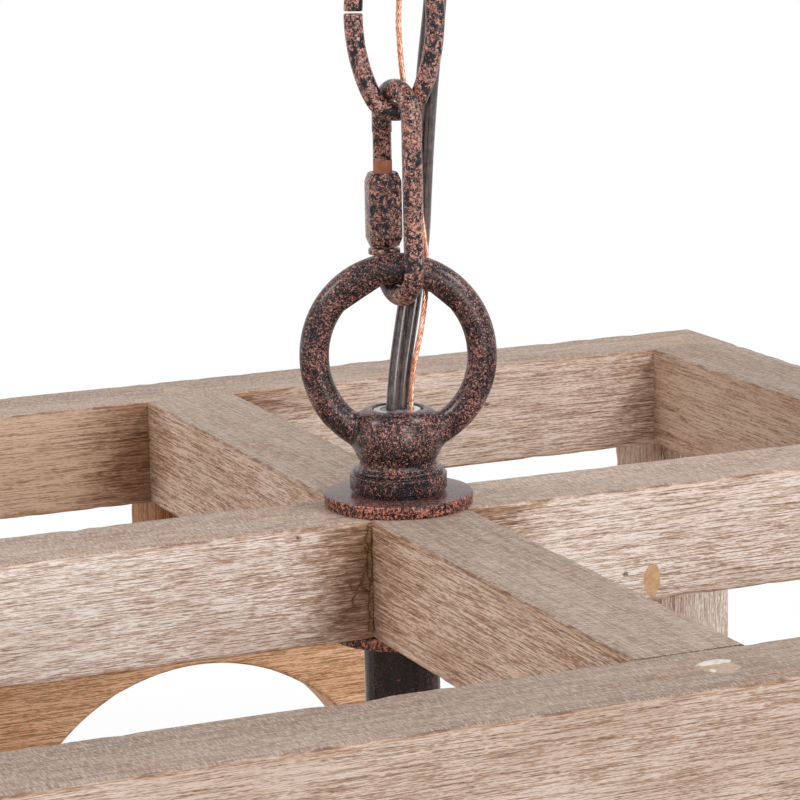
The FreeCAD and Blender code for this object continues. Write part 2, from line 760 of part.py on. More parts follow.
flat_area = (cord_width - cord_thick) * cord_thick + math.pi * cord_thick ** 2 / 4
round_area = math.pi * ground_wire_r ** 2
for name, route, cuts, make, area in (
        ("power_cord", POWER_ROUTE, POWER_CUTS, flat_cord, flat_area),
        ("ground_wire", GROUND_ROUTE, GROUND_CUTS, lambda w: rod_along(w, ground_wire_r), round_area)):
    wires, radii = stretches(route, cuts)
    print(name, "radii", radii, "length", round(sum(w.Length for w in wires), 1))
    for stretch, wire in zip(STRETCHES, wires):
        lead = make(wire)
        print(name, stretch, "volume over section times length", round(lead.Volume / (area * wire.Length), 4))
        save(name + "_" + stretch, turned(lead))

stem_cord_low = cover_floor - finial_grip + lead_play
cord_foot = V(0, 0, cup_top - cup_wall)
section = Part.Face(flat_section(cord_foot, UP))
stem_cord_top = rail_top + POWER_ROUTE[0][2] - lead_play
straight = section.extrude(V(0, 0, stem_cord_top - cord_foot.z))
save("stem_cord", turned(straight.translated(V(POWER_ROUTE[0][0], 0, 0))))
print("rail top", rail_top, "cage bottom", cage_bottom)
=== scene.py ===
# %% [markdown]
# # A wooden cage lantern on a chain
# The object is a square cage of brushed, whitewashed wood. A cast loop and two washers clamp the
# cross in its top, and a quick link and two chain links hang it from a ceiling canopy. This script
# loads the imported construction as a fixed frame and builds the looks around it, piece by piece.
# Everything is in metres, in the frame's own axes: +Z is up, X runs along the left-right rail and
# Y along the front-back rail.

# %% Load the frame
import json
import math
import random

import bmesh
import bpy
from mathutils import Matrix, Vector, noise
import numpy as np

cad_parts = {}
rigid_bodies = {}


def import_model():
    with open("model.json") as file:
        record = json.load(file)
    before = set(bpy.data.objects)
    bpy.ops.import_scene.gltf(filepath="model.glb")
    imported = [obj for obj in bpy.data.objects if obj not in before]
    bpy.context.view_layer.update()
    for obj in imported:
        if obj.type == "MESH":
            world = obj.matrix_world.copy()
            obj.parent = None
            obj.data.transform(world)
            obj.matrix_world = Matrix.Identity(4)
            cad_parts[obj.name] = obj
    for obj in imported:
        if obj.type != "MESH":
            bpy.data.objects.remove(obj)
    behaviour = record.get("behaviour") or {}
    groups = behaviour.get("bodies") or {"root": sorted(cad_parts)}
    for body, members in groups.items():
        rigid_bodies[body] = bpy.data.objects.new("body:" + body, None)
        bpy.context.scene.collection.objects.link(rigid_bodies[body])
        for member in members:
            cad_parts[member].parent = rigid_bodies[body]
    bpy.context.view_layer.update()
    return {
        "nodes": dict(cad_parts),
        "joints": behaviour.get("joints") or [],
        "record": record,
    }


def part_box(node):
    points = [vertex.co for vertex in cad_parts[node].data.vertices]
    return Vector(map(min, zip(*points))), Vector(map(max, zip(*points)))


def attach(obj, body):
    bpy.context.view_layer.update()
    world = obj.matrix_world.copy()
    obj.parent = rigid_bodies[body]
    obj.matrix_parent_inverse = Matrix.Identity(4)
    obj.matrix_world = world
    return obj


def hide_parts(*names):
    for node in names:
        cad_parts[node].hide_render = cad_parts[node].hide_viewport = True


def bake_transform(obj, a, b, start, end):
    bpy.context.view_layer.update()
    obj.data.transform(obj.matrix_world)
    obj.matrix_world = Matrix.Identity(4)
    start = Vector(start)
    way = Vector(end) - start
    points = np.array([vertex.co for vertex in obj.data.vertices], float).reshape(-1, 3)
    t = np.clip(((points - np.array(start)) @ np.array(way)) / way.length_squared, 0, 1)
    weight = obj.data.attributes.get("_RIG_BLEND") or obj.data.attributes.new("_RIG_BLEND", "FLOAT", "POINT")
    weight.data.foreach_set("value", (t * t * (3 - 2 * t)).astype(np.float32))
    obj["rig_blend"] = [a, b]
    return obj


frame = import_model()
nodes = frame["nodes"]
scene = bpy.context.scene
MM = 0.001
X_AXIS, Y_AXIS, Z_AXIS = Vector((1, 0, 0)), Vector((0, 1, 0)), Vector((0, 0, 1))

# %% [markdown]
# Places come from the frame's own boxes, so a changed construction moves the looks with it. The
# cast loops, the chain and the leads are built in a turned frame, u across the loop and v through
# it, because the loop was screwed down askew on the real lantern. The chain hangs a little beside
# the loops' middle, and the joints say how far.

# %% Places of the cage and of the turned hardware
front_low, front_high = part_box("top_rail_front")
half_side = front_high.x
inner_half = -front_high.y
rail_top, rail_bottom = front_high.z, front_low.z
rail_width = half_side - inner_half
rail_middle = half_side - rail_width / 2
cage_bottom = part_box("bottom_rail_front")[0].z
loop_turn = math.radians(-23.3)
TURNED = Matrix.Rotation(loop_turn, 4, "Z")


swings = [joint for joint in frame["joints"] if joint["type"] == "hinge"]
chain_offset = (TURNED.inverted() @ Vector(swings[0]["pos_m"])).x
HUNG = TURNED @ Matrix.Translation((chain_offset, 0, 0))


def hardware(u, v, height):
    """A point of the turned frame, its height measured from the top of the rails."""
    return TURNED @ Vector((u, v, rail_top + height))


print("rails", round(rail_bottom, 4), "to", round(rail_top, 4), "cage bottom", round(cage_bottom, 4))

# %% [markdown]
# The camera stands where the photograph was taken: close, a little above the rails, with a long
# lens and a slight roll. Its place follows from the pixel in which the middle of the cross shows
# and from the distance to it.

# %% Camera
frame_pixels = 800
focal_pixels = 3309.0
cross_pixel = (398.9, 503.1)
cross_depth = 0.6948
view_azimuth = math.radians(-23.297)
view_elevation = math.radians(11.513)
view_roll = math.radians(-1.177)


def photo_camera():
    back = Vector((math.sin(view_azimuth) * math.cos(view_elevation),
                   -math.cos(view_azimuth) * math.cos(view_elevation), math.sin(view_elevation)))
    level_right = (-back).cross(Z_AXIS).normalized()
    level_up = level_right.cross(-back)
    right = level_right * math.cos(view_roll) + level_up * math.sin(view_roll)
    up = level_up * math.cos(view_roll) - level_right * math.sin(view_roll)
    across = (cross_pixel[0] - frame_pixels / 2) / focal_pixels
    down = (cross_pixel[1] - frame_pixels / 2) / focal_pixels
    place = Vector((0, 0, rail_top)) - cross_depth * (-back + right * across - up * down)
    data = bpy.data.cameras.new("photo_camera")
    data.sensor_width = 36.0
    data.lens = data.sensor_width * focal_pixels / frame_pixels
    data.clip_start = 0.01
    camera = bpy.data.objects.new("photo_camera", data)
    axes = Matrix((right, up, back)).transposed()
    camera.matrix_world = Matrix.Translation(place) @ axes.to_4x4()
    scene.collection.objects.link(camera)
    scene.camera = camera
    return place


print("camera at", [round(c, 3) for c in photo_camera()])

# %% [markdown]
# Materials are built from nodes. One small class keeps that readable: every call adds a node, and
# gives back the output that the next call takes. Colours are written as on screen, from 0 to 1,
# and turned into linear light here.


# %% A short way to write node materials
def linear(colour):
    """A screen colour as linear light, with full alpha."""
    return tuple(c / 12.92 if c <= 0.04045 else ((c + 0.055) / 1.055) ** 2.4 for c in colour) + (1.0,)


class Finish:
    def __init__(self, name, **constants):
        self.material = bpy.data.materials.new(name)
        self.material.use_nodes = True
        self.tree = self.material.node_tree
        self.shader = self.tree.nodes["Principled BSDF"]
        for socket, value in constants.items():
            self.shader.inputs[socket.replace("_", " ")].default_value = value

    def node(self, kind, links=(), **settings):
        made = self.tree.nodes.new("ShaderNode" + kind)
        for key, value in settings.items():
            setattr(made, key, value)
        for socket, value in links:
            target = made.inputs[socket]
            if isinstance(value, bpy.types.NodeSocket):
                self.tree.links.new(value, target)
            else:
                target.default_value = value
        return made

    def place(self):
        """Object coordinates in millimetres."""
        source = self.node("TexCoord").outputs["Object"]
        return self.stretch(source, (1000, 1000, 1000))

    def facing(self):
        """How far the surface faces up, from -1 to 1."""
        normal = self.node("TexCoord").outputs["Normal"]
        return self.node("SeparateXYZ", [(0, normal)]).outputs["Z"]

    def attribute(self, name, output="Vector"):
        return self.node("Attribute", attribute_name=name).outputs[output]

    def stretch(self, vector, scale, location=(0, 0, 0)):
        return self.node("Mapping", [("Vector", vector), ("Scale", scale), ("Location", location)]).outputs[0]

    def noise(self, vector, scale, detail=2.0, roughness=0.5, distortion=0.0):
        return self.node("TexNoise", [("Vector", vector), ("Scale", scale), ("Detail", detail),
                                      ("Roughness", roughness), ("Distortion", distortion)]).outputs[0]

    def cells(self, vector, scale, feature="F1", randomness=1.0):
        return self.node("TexVoronoi", [("Vector", vector), ("Scale", scale), ("Randomness", randomness)],
                         feature=feature).outputs["Distance"]

    def step(self, value, low, high, start=0.0, end=1.0):
        """A smooth step from start to end as value goes from low to high."""
        return self.node("MapRange", [("Value", value), ("From Min", low), ("From Max", high),
                                      ("To Min", start), ("To Max", end)],
                         interpolation_type="SMOOTHSTEP").outputs[0]

    def math(self, operation, a, b=0.0, clamp=False):
        return self.node("Math", [(0, a), (1, b)], operation=operation, use_clamp=clamp).outputs[0]

    def mix(self, factor, a, b, blend="MIX"):
        made = self.node("Mix", data_type="RGBA", blend_type=blend, clamp_factor=True)
        for socket, value in ((made.inputs[0], factor), (made.inputs[6], a), (made.inputs[7], b)):
            if isinstance(value, bpy.types.NodeSocket):
                self.tree.links.new(value, socket)
            else:
                socket.default_value = value if socket == made.inputs[0] else linear(value)
        return made.outputs[2]

    def bump(self, height, depth, strength=1.0, under=None):
        links = [("Height", height), ("Distance", depth), ("Strength", strength)]
        if under is not None:
            links.append(("Normal", under))
        return self.node("Bump", links).outputs[0]

    def wear(self, **sockets):
        """Connect the named sockets of the surface, and give back the material."""
        for socket, value in sockets.items():
            target = self.shader.inputs[socket.replace("_", " ")]
            if isinstance(value, bpy.types.NodeSocket):
                self.tree.links.new(value, target)
            else:
                target.default_value = value
        return self.material


# %% [markdown]
# A finished piece needs the same few steps each time: put the bmesh into an object, choose which
# faces are shaded smooth, give it its material, let it ride on a body and say which nodes of the
# frame it stands for.


# %% From bmesh to a finished piece
def finished(name, shape, material, body=None, stands_for=(), smooth_deg=40):
    mesh = bpy.data.meshes.new(name)
    shape.to_mesh(mesh)
    shape.free()
    piece = bpy.data.objects.new(name, mesh)
    scene.collection.objects.link(piece)
    mesh.materials.append(material)
    mesh.shade_smooth()
    mesh.set_sharp_from_angle(angle=math.radians(smooth_deg))
    if body:
        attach(piece, body)
    if stands_for:
        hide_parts(*stands_for)
    return piece


# %% [markdown]
# The leads come early, because their length and their room are fixed facts. A two-core lamp cord
# and a bare ground wire come out of the hub's mouth, pass through the cast loop, lie along the
# quick link and the chain, and go into the upper loop. Each route is a few points, and a smooth
# NURBS line through them is read back as the path. The links move, so each lead is cut into four
# stretches where it lies along one link, and each stretch bends between two bodies.

# %% Routes of the leads, as (u, v, height over the rails) in metres
POWER_ROUTE = [(-0.0005, 0.0, 0.007), (-0.00035, 0.0001, 0.0215), (0.0023, 0.0034, 0.038),
               (0.0052, 0.0078, 0.0535), (0.0059, 0.0076, 0.066), (0.0068, 0.0070, 0.079),
               (0.0080, 0.0060, 0.092), (0.0097, 0.0053, 0.105), (0.0104, 0.0053, 0.118),
               (0.0100, 0.0058, 0.130), (0.0088, 0.0067, 0.141), (0.0068, 0.0073, 0.151),
               (0.0030, 0.0042, 0.165), (-0.0003, 0.0002, 0.181), (-0.0005, 0.0, 0.195)]
GROUND_ROUTE = [(0.0028, 0.0, 0.011), (0.0028, 0.0, 0.0215), (0.0035, -0.0003, 0.029),
                (0.0056, 0.0005, 0.0375), (0.0071, 0.0045, 0.0485), (0.0062, 0.0044, 0.0575),
                (0.0049, 0.0040, 0.067), (0.0039, 0.0037, 0.077), (0.0029, 0.0037, 0.086),
                (0.0021, 0.0035, 0.094), (0.0018, 0.0035, 0.104), (0.0039, 0.0036, 0.115),
                (0.0051, 0.0035, 0.127), (0.0051, 0.0039, 0.139), (0.0047, 0.0046, 0.1505),
                (0.0056, 0.0014, 0.1605), (0.0050, 0.0, 0.1705), (0.0028, -0.00005, 0.1805),
                (0.0028, 0.0, 0.191)]
STRETCHES = (("lantern", "lantern", "quick_link"), ("quick_link", "quick_link", "lower_link"),
             ("chain", "lower_link", "upper_link"), ("canopy", "upper_link", "canopy"))


def smooth_line(name, route):
    """The points of a NURBS line that has the route's points as its control points."""
    curve = bpy.data.curves.new(name, "CURVE")
    curve.dimensions = "3D"
    spline = curve.splines.new("NURBS")
    spline.points.add(len(route) - 1)
    for point, (u, v, height) in zip(spline.points, route):
        point.co = (*hardware(u, v, height), 1.0)
    spline.order_u = 3
    spline.use_endpoint_u = True
    spline.resolution_u = 12
    holder = bpy.data.objects.new(name, curve)
    line = bpy.data.meshes.new_from_object(holder)
    points = [v.co.copy() for v in line.vertices]
    bpy.data.objects.remove(holder)
    bpy.data.meshes.remove(line)
    return points if points[0].z < points[-1].z else points[::-1]


def line_length(points):
    return sum((b - a).length for a, b in zip(points, points[1:]))


power_line = smooth_line("power_line", POWER_ROUTE)
ground_line = smooth_line("ground_line", GROUND_ROUTE)
print("power cord", round(line_length(power_line), 4), "m, ground wire", round(line_length(ground_line), 4), "m")

# %% [markdown]
# A lead's mesh is its section, drawn at the first point and extruded from point to point. Its wide
# side stays across the cast loop, apart from a slight twist at the mouth. The cord's section is two
# round cores side by side with a groove between them. The ground wire is a few copper
# strands that wind round each other.


# %% Sweep a section along a path
mouth_twist, twist_start, twist_end = math.radians(30), 0.022, 0.055


def frames_along(points):
    """For each point: itself, and the directions across and through the lead, which leaves the
    hub's mouth twisted and turns straight on its way up."""
    made = []
    for i, point in enumerate(points):
        share = (rail_top + twist_end - point.z) / (twist_end - twist_start)
        twist = Matrix.Rotation(mouth_twist * min(1.0, max(0.0, share)), 3, "Z")
        across_all = TURNED.to_3x3() @ twist @ X_AXIS
        heading = (points[min(i + 1, len(points) - 1)] - points[max(i - 1, 0)]).normalized()
        across = (across_all - heading * across_all.dot(heading)).normalized()
        made.append((point, across, heading.cross(across)))
    return made


def sweep(shape, section, places):
    """Extrude a closed section, a list of (across, through), along the places."""
    point, across, through = places[0]
    ring = [shape.verts.new(point + across * a + through * b) for a, b in section]
    edges = [shape.edges.new(pair) for pair in zip(ring, ring[1:] + ring[:1])]
    shape.faces.new(ring[::-1])
    for point, across, through in places[1:]:
        grown = bmesh.ops.extrude_edge_only(shape, edges=edges)["geom"]
        new = [g for g in grown if isinstance(g, bmesh.types.BMVert)]
        edges = [g for g in grown if isinstance(g, bmesh.types.BMEdge)
                 and g.verts[0] in new and g.verts[1] in new]
        old = {v: next(e.other_vert(v) for e in v.link_edges if e.other_vert(v) not in new) for v in new}
        order = {v: i for i, v in enumerate(ring)}
        ring = sorted(new, key=lambda v: order[old[v]])
        for vert, (a, b) in zip(ring, section):
            vert.co = point + across * a + through * b
    shape.faces.new(ring)


def two_core_section(width, thick, lobe_sides=16):
    """Two round cores side by side, which meet in a sharp groove on both sides."""
    core = thick / 2
    shift = width / 2 - core
    half = math.acos(-shift / core)
    section = []
    for side, start in ((1, -half), (-1, math.pi - half)):
        for i in range(lobe_sides):
            angle = start + 2 * half * i / lobe_sides
            section.append((side * shift + core * math.cos(angle), core * math.sin(angle)))
    return section


def round_section(radius, sides, shift=(0.0, 0.0)):
    return [(shift[0] + radius * math.cos(2 * math.pi * i / sides),
             shift[1] + radius * math.sin(2 * math.pi * i / sides)) for i in range(sides)]


# %% [markdown]
# Before the leads are built they need their finishes. The insulation is a glossy brown plastic,
# a little uneven in tone, with lighter streaks along it that are painted highlight lines and darker
# ones that are painted shade. Bare copper is bright where it was drawn, with darker breath in between.

# %% Finishes of the leads
def insulation_finish():
    f = Finish("cord_insulation", Coat_Weight=0.6, Coat_Roughness=0.14, Specular_IOR_Level=0.5)
    place = f.place()
    cloudy = f.noise(place, 0.5, 3.0, 0.6)
    colour = f.mix(f.step(cloudy, 0.35, 0.65), (0.19, 0.14, 0.135), (0.34, 0.27, 0.26))
    # Painted highlight and painted shade: lighter and darker streaks that run along the cord.
    highlight_and_shade_streaks = f.noise(f.stretch(place, (3.5, 3.5, 0.12)), 1.0, 3.0, 0.6)
    colour = f.mix(f.step(highlight_and_shade_streaks, 0.50, 0.66, 0.0, 0.6), colour, (0.50, 0.43, 0.42))
    colour = f.mix(f.step(highlight_and_shade_streaks, 0.46, 0.34, 0.0, 0.7), colour, (0.10, 0.07, 0.07))
    waviness = f.noise(f.stretch(place, (1, 1, 0.25)), 0.8, 2.0)
    return f.wear(Base_Color=colour, Roughness=f.step(cloudy, 0.3, 0.7, 0.20, 0.32),
                  Normal=f.bump(waviness, 0.00008, 0.3))


def copper_finish():
    f = Finish("bare_copper", Metallic=1.0)
    place = f.place()
    breath = f.noise(place, 1.1, 3.0, 0.6)
    colour = f.mix(f.step(breath, 0.35, 0.7), (0.97, 0.80, 0.70), (0.82, 0.48, 0.34))
    scratches = f.noise(f.stretch(place, (6, 6, 1)), 1.0, 2.0)
    return f.wear(Base_Color=colour, Roughness=f.step(breath, 0.3, 0.7, 0.22, 0.4),
                  Normal=f.bump(scratches, 0.00005, 0.3))


INSULATION = insulation_finish()
COPPER = copper_finish()

# %% [markdown]
# Each stretch is cut out of the smooth line between two heights, where the lead lies along one
# link and doesn't bend. Its blend begins and ends a little below and above the pivot that it
# crosses, so neighbouring stretches always meet on one and the same body.

# %% Build the stretches
cord_width, cord_thick = 4.8 * MM, 2.6 * MM
strand_count, strand_r, strand_wind_r, strand_pitch = 6, 0.21 * MM, 0.38 * MM, 9.0 * MM
wire_diameter = 2 * (strand_r + strand_wind_r)
blend_reach = 8.0 * MM
POWER_CUTS = [rail_top + (a[2] + b[2]) / 2 for a, b in
              ((POWER_ROUTE[i], POWER_ROUTE[i + 1]) for i in (3, 6, 9))]
GROUND_CUTS = [rail_top + (a[2] + b[2]) / 2 for a, b in
               ((GROUND_ROUTE[i], GROUND_ROUTE[i + 1]) for i in (5, 9, 12))]
joint_z = {frozenset((j["parent"], j["child"])): j["pos_m"][2]
           for j in swings}


def cut_line(points, low, high):
    """The part of a line between two heights, with a point exactly at each cut."""
    def at(height):
        for a, b in zip(points, points[1:]):
            if a.z <= height <= b.z:
                return a.lerp(b, (height - a.z) / (b.z - a.z))
    first = [points[0]] if low is None else [at(low)]
    last = [points[-1]] if high is None else [at(high)]
    low_z, high_z = first[0].z + 0.2 * MM, last[0].z - 0.2 * MM
    return first + [p for p in points if low_z < p.z < high_z] + last


def even_steps(points, step):
    """The same line with points a steady step apart."""
    total = line_length(points)
    count = max(2, round(total / step))
    made, walked, i = [points[0]], 0.0, 0
    for n in range(1, count):
        target = total * n / count
        while walked + (points[i + 1] - points[i]).length < target:
            walked += (points[i + 1] - points[i]).length
            i += 1
        made.append(points[i].lerp(points[i + 1], (target - walked) / (points[i + 1] - points[i]).length))
    return made + [points[-1]]


def lead(name, node, points, below, above, sections, material):
    """One stretch of a lead. sections gives the sections' places along the points, one per strand."""
    shape = bmesh.new()
    for section, places in sections(points):
        sweep(shape, section, places)
    piece = finished(name, shape, material, stands_for=(node,), smooth_deg=60)
    pivot = joint_z[frozenset((below, above))]
    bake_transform(piece, below, above, start=(0, 0, pivot - blend_reach), end=(0, 0, pivot + blend_reach))
    return piece


def cord_sections(points):
    return [(two_core_section(cord_width, cord_thick), frames_along(points))]


def strand_sections(points):
    """Strands that wind round the line, each a small round section of its own."""
    made = []
    places = frames_along(points)
    for strand in range(strand_count):
        wound = []
        for point, across, through in places:
            turn = 2 * math.pi * (strand / strand_count + (point.z - rail_top) / strand_pitch)
            shift = across * math.cos(turn) + through * math.sin(turn)
            wound.append(point + shift * strand_wind_r)
        made.append((round_section(strand_r, 8), frames_along(wound)))
    return made


for route_name, line, cuts, step, diameter, sections, material, slot in (
        ("power_cord", power_line, POWER_CUTS, 1.0 * MM, cord_width, cord_sections, INSULATION, "cord_insulation"),
        ("ground_wire", ground_line, GROUND_CUTS, 0.5 * MM, wire_diameter, strand_sections, COPPER, "bare_copper")):
    heights = [None, *cuts, None]
    for (stretch, below, above), low, high in zip(STRETCHES, heights, heights[1:]):
        points = even_steps(cut_line(line, low, high), step)
        lead(route_name + "_" + stretch, route_name + "_" + stretch, points, below, above,
             sections, material)
        print(route_name, stretch, round(line_length(points), 4), "m")

# %% [markdown]
# The wood is the largest surface, so its finish gets the most care. The real boards were wire
# brushed, so the soft grain lies lower, then washed with thin white paint and toned with brown.
# Each board's mesh carries its own grain coordinates in millimetres, along the board first, so
# that one material runs the right way on every board. The faces that look up are painted greyer
# and darker, as painted shade. The faces that look along X are browner, partly a real stain and
# partly painted warm bounce light. The inner corners are darker, partly a brown stain that the
# brush didn't reach and partly painted shade, and the long edges keep a dark line where the wash
# was rubbed off. The side rings took more of the amber stain than the rails.


# %% The brushed and whitewashed wood
def wood_finish(name, pale, warm, brown, top_shaded_pale, top_shaded_deep):
    f = Finish(name, Specular_IOR_Level=0.3)
    grain = f.attribute("grain")
    edge = f.attribute("edge", "Fac")
    stain = f.attribute("stain", "Fac")
    bare = f.attribute("bare", "Fac")
    normal = f.node("SeparateXYZ", [(0, f.node("TexCoord").outputs["Normal"])]).outputs
    top = f.step(normal["Z"], 0.55, 0.85)
    across = f.step(f.math("ABSOLUTE", normal["X"]), 0.55, 0.85)

    fibre = f.noise(f.stretch(grain, (0.11, 3.6, 3.6)), 1.0, 3.0, 0.70)
    fine = f.noise(f.stretch(grain, (0.7, 8.0, 8.0)), 1.0, 2.0, 0.6)
    wide = f.noise(f.stretch(grain, (0.03, 0.9, 0.9), (13, 5, 29)), 1.0, 3.0, 0.6)
    ridges = f.math("ADD", f.math("MULTIPLY", fibre, 0.56), f.math("MULTIPLY", fine, 0.38))
    ridges = f.math("ADD", ridges, f.math("MULTIPLY", wide, 0.06))
    ragged = f.noise(f.stretch(grain, (0.20, 0.8, 0.8)), 1.0, 4.0, 0.65)
    patch = f.noise(f.stretch(grain, (0.03, 0.09, 0.09)), 1.0, 3.0, 0.6)
    # The inner corners are darker: partly a real brown stain, partly painted shade. It is kept off the tops and is
    # lighter on the faces that look along X.
    stain_and_shade = f.math("ADD", stain, f.math("MULTIPLY", f.math("SUBTRACT", ragged, 0.5), 0.9))
    stain_and_shade = f.math("MULTIPLY", f.step(stain_and_shade, 0.28, 0.95), f.math("SUBTRACT", 1.0, top))
    stain_and_shade = f.math("MULTIPLY", stain_and_shade, f.math("SUBTRACT", 1.0, f.math("MULTIPLY", across, 0.55)))
    level = f.math("SUBTRACT", ridges, f.math("MULTIPLY", stain_and_shade, 0.05))

    cloud = f.noise(f.stretch(grain, (0.012, 0.05, 0.05)), 1.0, 3.0, 0.55)
    colour = f.mix(f.step(cloud, 0.32, 0.68), warm, pale)
    band = f.noise(f.stretch(grain, (0.02, 0.30, 0.30)), 1.0, 4.0, 0.6, 0.4)
    colour = f.mix(f.step(band, 0.52, 0.74, 0.0, 0.4), colour, brown)
    wash = f.math("MULTIPLY", f.step(level, 0.492, 0.530), f.step(patch, 0.30, 0.62, 0.55, 1.0))
    wash = f.math("MULTIPLY", wash, f.math("SUBTRACT", 1.0, f.math("MULTIPLY", bare, 0.5)))
    colour = f.mix(wash, colour, tuple(min(1.0, c + d) for c, d in zip(pale, (0.140, 0.185, 0.225))))
    hollows = f.math("MULTIPLY", f.step(level, 0.478, 0.430), f.step(patch, 0.72, 0.38, 0.30, 0.72))
    colour = f.mix(hollows, colour, tuple(c * 0.84 for c in brown))
    cracks = f.step(level, 0.415, 0.380, 0.0, 0.62)
    colour = f.mix(cracks, colour, (0.275, 0.195, 0.145))
    # Painted shade in part: the inner corners are multiplied darker brown, partly real stain and partly shade.
    colour = f.mix(f.math("MULTIPLY", stain_and_shade, 0.75), colour, (0.70, 0.57, 0.44), "MULTIPLY")
    # Faces that look along X are multiplied browner: partly a real stain, partly painted warm bounce light.
    colour = f.mix(f.math("MULTIPLY", across, 0.8), colour, (0.965, 0.90, 0.835), "MULTIPLY")
    colour = f.mix(f.math("MULTIPLY", bare, f.math("SUBTRACT", 1.0, across)), colour, (0.975, 0.905, 0.845), "MULTIPLY")

    scratch = f.noise(f.stretch(grain, (3.2, 0.45, 0.45)), 1.0, 3.0, 0.6, 0.4)
    # Painted shade: the faces that look up get a greyer, darker colour than the sides, with real worn patches, grain
    # ridges and scratches drawn over it.
    top_shade_and_wear = f.mix(f.step(cloud, 0.35, 0.65), top_shaded_deep, top_shaded_pale)
    worn = f.noise(f.stretch(grain, (0.022, 0.08, 0.08), (70, 3, 8)), 1.0, 3.0, 0.6)
    top_shade_and_wear = f.mix(f.step(worn, 0.50, 0.66, 0.0, 0.55), top_shade_and_wear, tuple(c * d for c, d in zip(top_shaded_deep, (0.97, 0.88, 0.80))))
    top_shade_and_wear = f.mix(f.step(ridges, 0.50, 0.56, 0.0, 0.50), top_shade_and_wear, tuple(c + 0.11 for c in top_shaded_pale))
    top_shade_and_wear = f.mix(f.step(ridges, 0.48, 0.42, 0.0, 0.6), top_shade_and_wear, tuple(c * 0.70 for c in top_shaded_deep))
    top_shade_and_wear = f.mix(f.step(scratch, 0.55, 0.61, 0.0, 0.62), top_shade_and_wear, tuple(c + 0.14 for c in top_shaded_pale))
    top_shade_and_wear = f.mix(f.step(scratch, 0.45, 0.38, 0.0, 0.55), top_shade_and_wear, tuple(c * 0.76 for c in top_shaded_deep))
    colour = f.mix(top, colour, top_shade_and_wear)

    rub = f.math("ADD", edge, f.math("MULTIPLY", f.math("SUBTRACT", ragged, 0.5), 1.1))
    amber = f.math("MULTIPLY", f.step(rub, 0.55, 0.88, 0.0, 0.50), f.math("SUBTRACT", 1.0, top))
    colour = f.mix(amber, colour, (0.74, 0.55, 0.38))
    line = f.math("ADD", edge, f.math("MULTIPLY", f.math("SUBTRACT", ragged, 0.5), 0.6))
    colour = f.mix(f.step(line, 0.78, 0.88, 0.0, 0.66), colour, (0.42, 0.28, 0.22))

    speck = f.cells(f.stretch(grain, (0.05, 0.07, 0.07)), 1.0)
    wobble = f.noise(grain, 1.6, 3.0, 0.6)
    mark = f.math("ADD", speck, f.math("MULTIPLY", f.math("SUBTRACT", wobble, 0.5), 0.11))
    colour = f.mix(f.step(mark, 0.045, 0.025, 0.0, 0.75), colour, (0.27, 0.215, 0.185))

    colour = f.node("VectorMath", [(0, colour), ("Scale", f.attribute("tone", "Fac"))], operation="SCALE").outputs[0]

    relief = f.bump(level, 0.00016, 0.8)
    relief = f.bump(fine, 0.00003, 0.5, relief)
    return f.wear(Base_Color=colour, Roughness=f.step(level, 0.40, 0.60, 0.76, 0.55), Normal=relief)


# The last two colours of each wood are the painted shade of the faces that look up.
WOOD = wood_finish("aged_wood", (0.815, 0.735, 0.675), (0.735, 0.625, 0.545), (0.665, 0.52, 0.405),
                   (0.735, 0.652, 0.595), (0.655, 0.57, 0.51))
RING_WOOD = wood_finish("ring_wood", (0.85, 0.65, 0.475), (0.79, 0.585, 0.41), (0.71, 0.51, 0.35),
                        (0.76, 0.61, 0.48), (0.66, 0.52, 0.40))

# %% [markdown]
# A board starts as a cube, scaled to its box. Its long sides are cut into strips so that they can
# be dented, its long edges are bevelled, and then every vertex is pushed inwards a little by slow
# noise, more at the edges, where boards get knocked. Nothing is pushed outwards, so a board never
# grows past its node.

# %% How a board is made
board_strip = 3.0 * MM
edge_round = 1.0 * MM
face_wave, edge_wear = 0.10 * MM, 0.45 * MM
AXIS = {"x": 0, "y": 1, "z": 2}
grain_shift = random.Random(5)
stain_reach = 30 * MM
FRAME_CORNERS = [(x * inner_half, y * inner_half) for x in (-1, 1) for y in (-1, 1)]
CROSS_CORNERS = [(x * a, y * b) for a, b in ((rail_width / 2, rail_width / 2), (rail_width / 2, inner_half),
                                             (inner_half, rail_width / 2)) for x in (-1, 1) for y in (-1, 1)]


# The mask of the darker inner corners: partly a real brown stain, partly painted shade.
def joint_stain_and_shade(place):
    """1 in the inner corners of the cross, 0.7 in those of the frames, and 0 away from them."""
    at_frame = min(math.hypot(place.x - x, place.y - y) for x, y in FRAME_CORNERS)
    stain = 0.7 * max(0.0, 1.0 - at_frame / stain_reach)
    if place.z > (rail_top + cage_bottom) / 2:
        at_cross = min(math.hypot(place.x - x, place.y - y) for x, y in CROSS_CORNERS)
        stain = max(stain, 1.0 - at_cross / stain_reach)
    return stain


def paler_back(place):
    """The inner face of the back rail gets paler from left to right, past the cross."""
    return min(1.0, max(0.35, 0.6 - place.x / (60 * MM))) if place.y > inner_half - MM else 1.0


def cut_strips(shape, axis, count):
    """Cut every edge that runs along an axis into count parts."""
    along = [e for e in shape.edges if abs((e.verts[0].co - e.verts[1].co).normalized()[axis]) > 0.99]
    bmesh.ops.subdivide_edges(shape, edges=along, cuts=count - 1, use_grid_fill=True)


def cube_between(shape, low, high):
    low, high = Vector(low), Vector(high)
    size = high - low
    matrix = Matrix.Translation((low + high) / 2) @ Matrix.Diagonal((*size, 1))
    bmesh.ops.create_cube(shape, size=1.0, matrix=matrix)


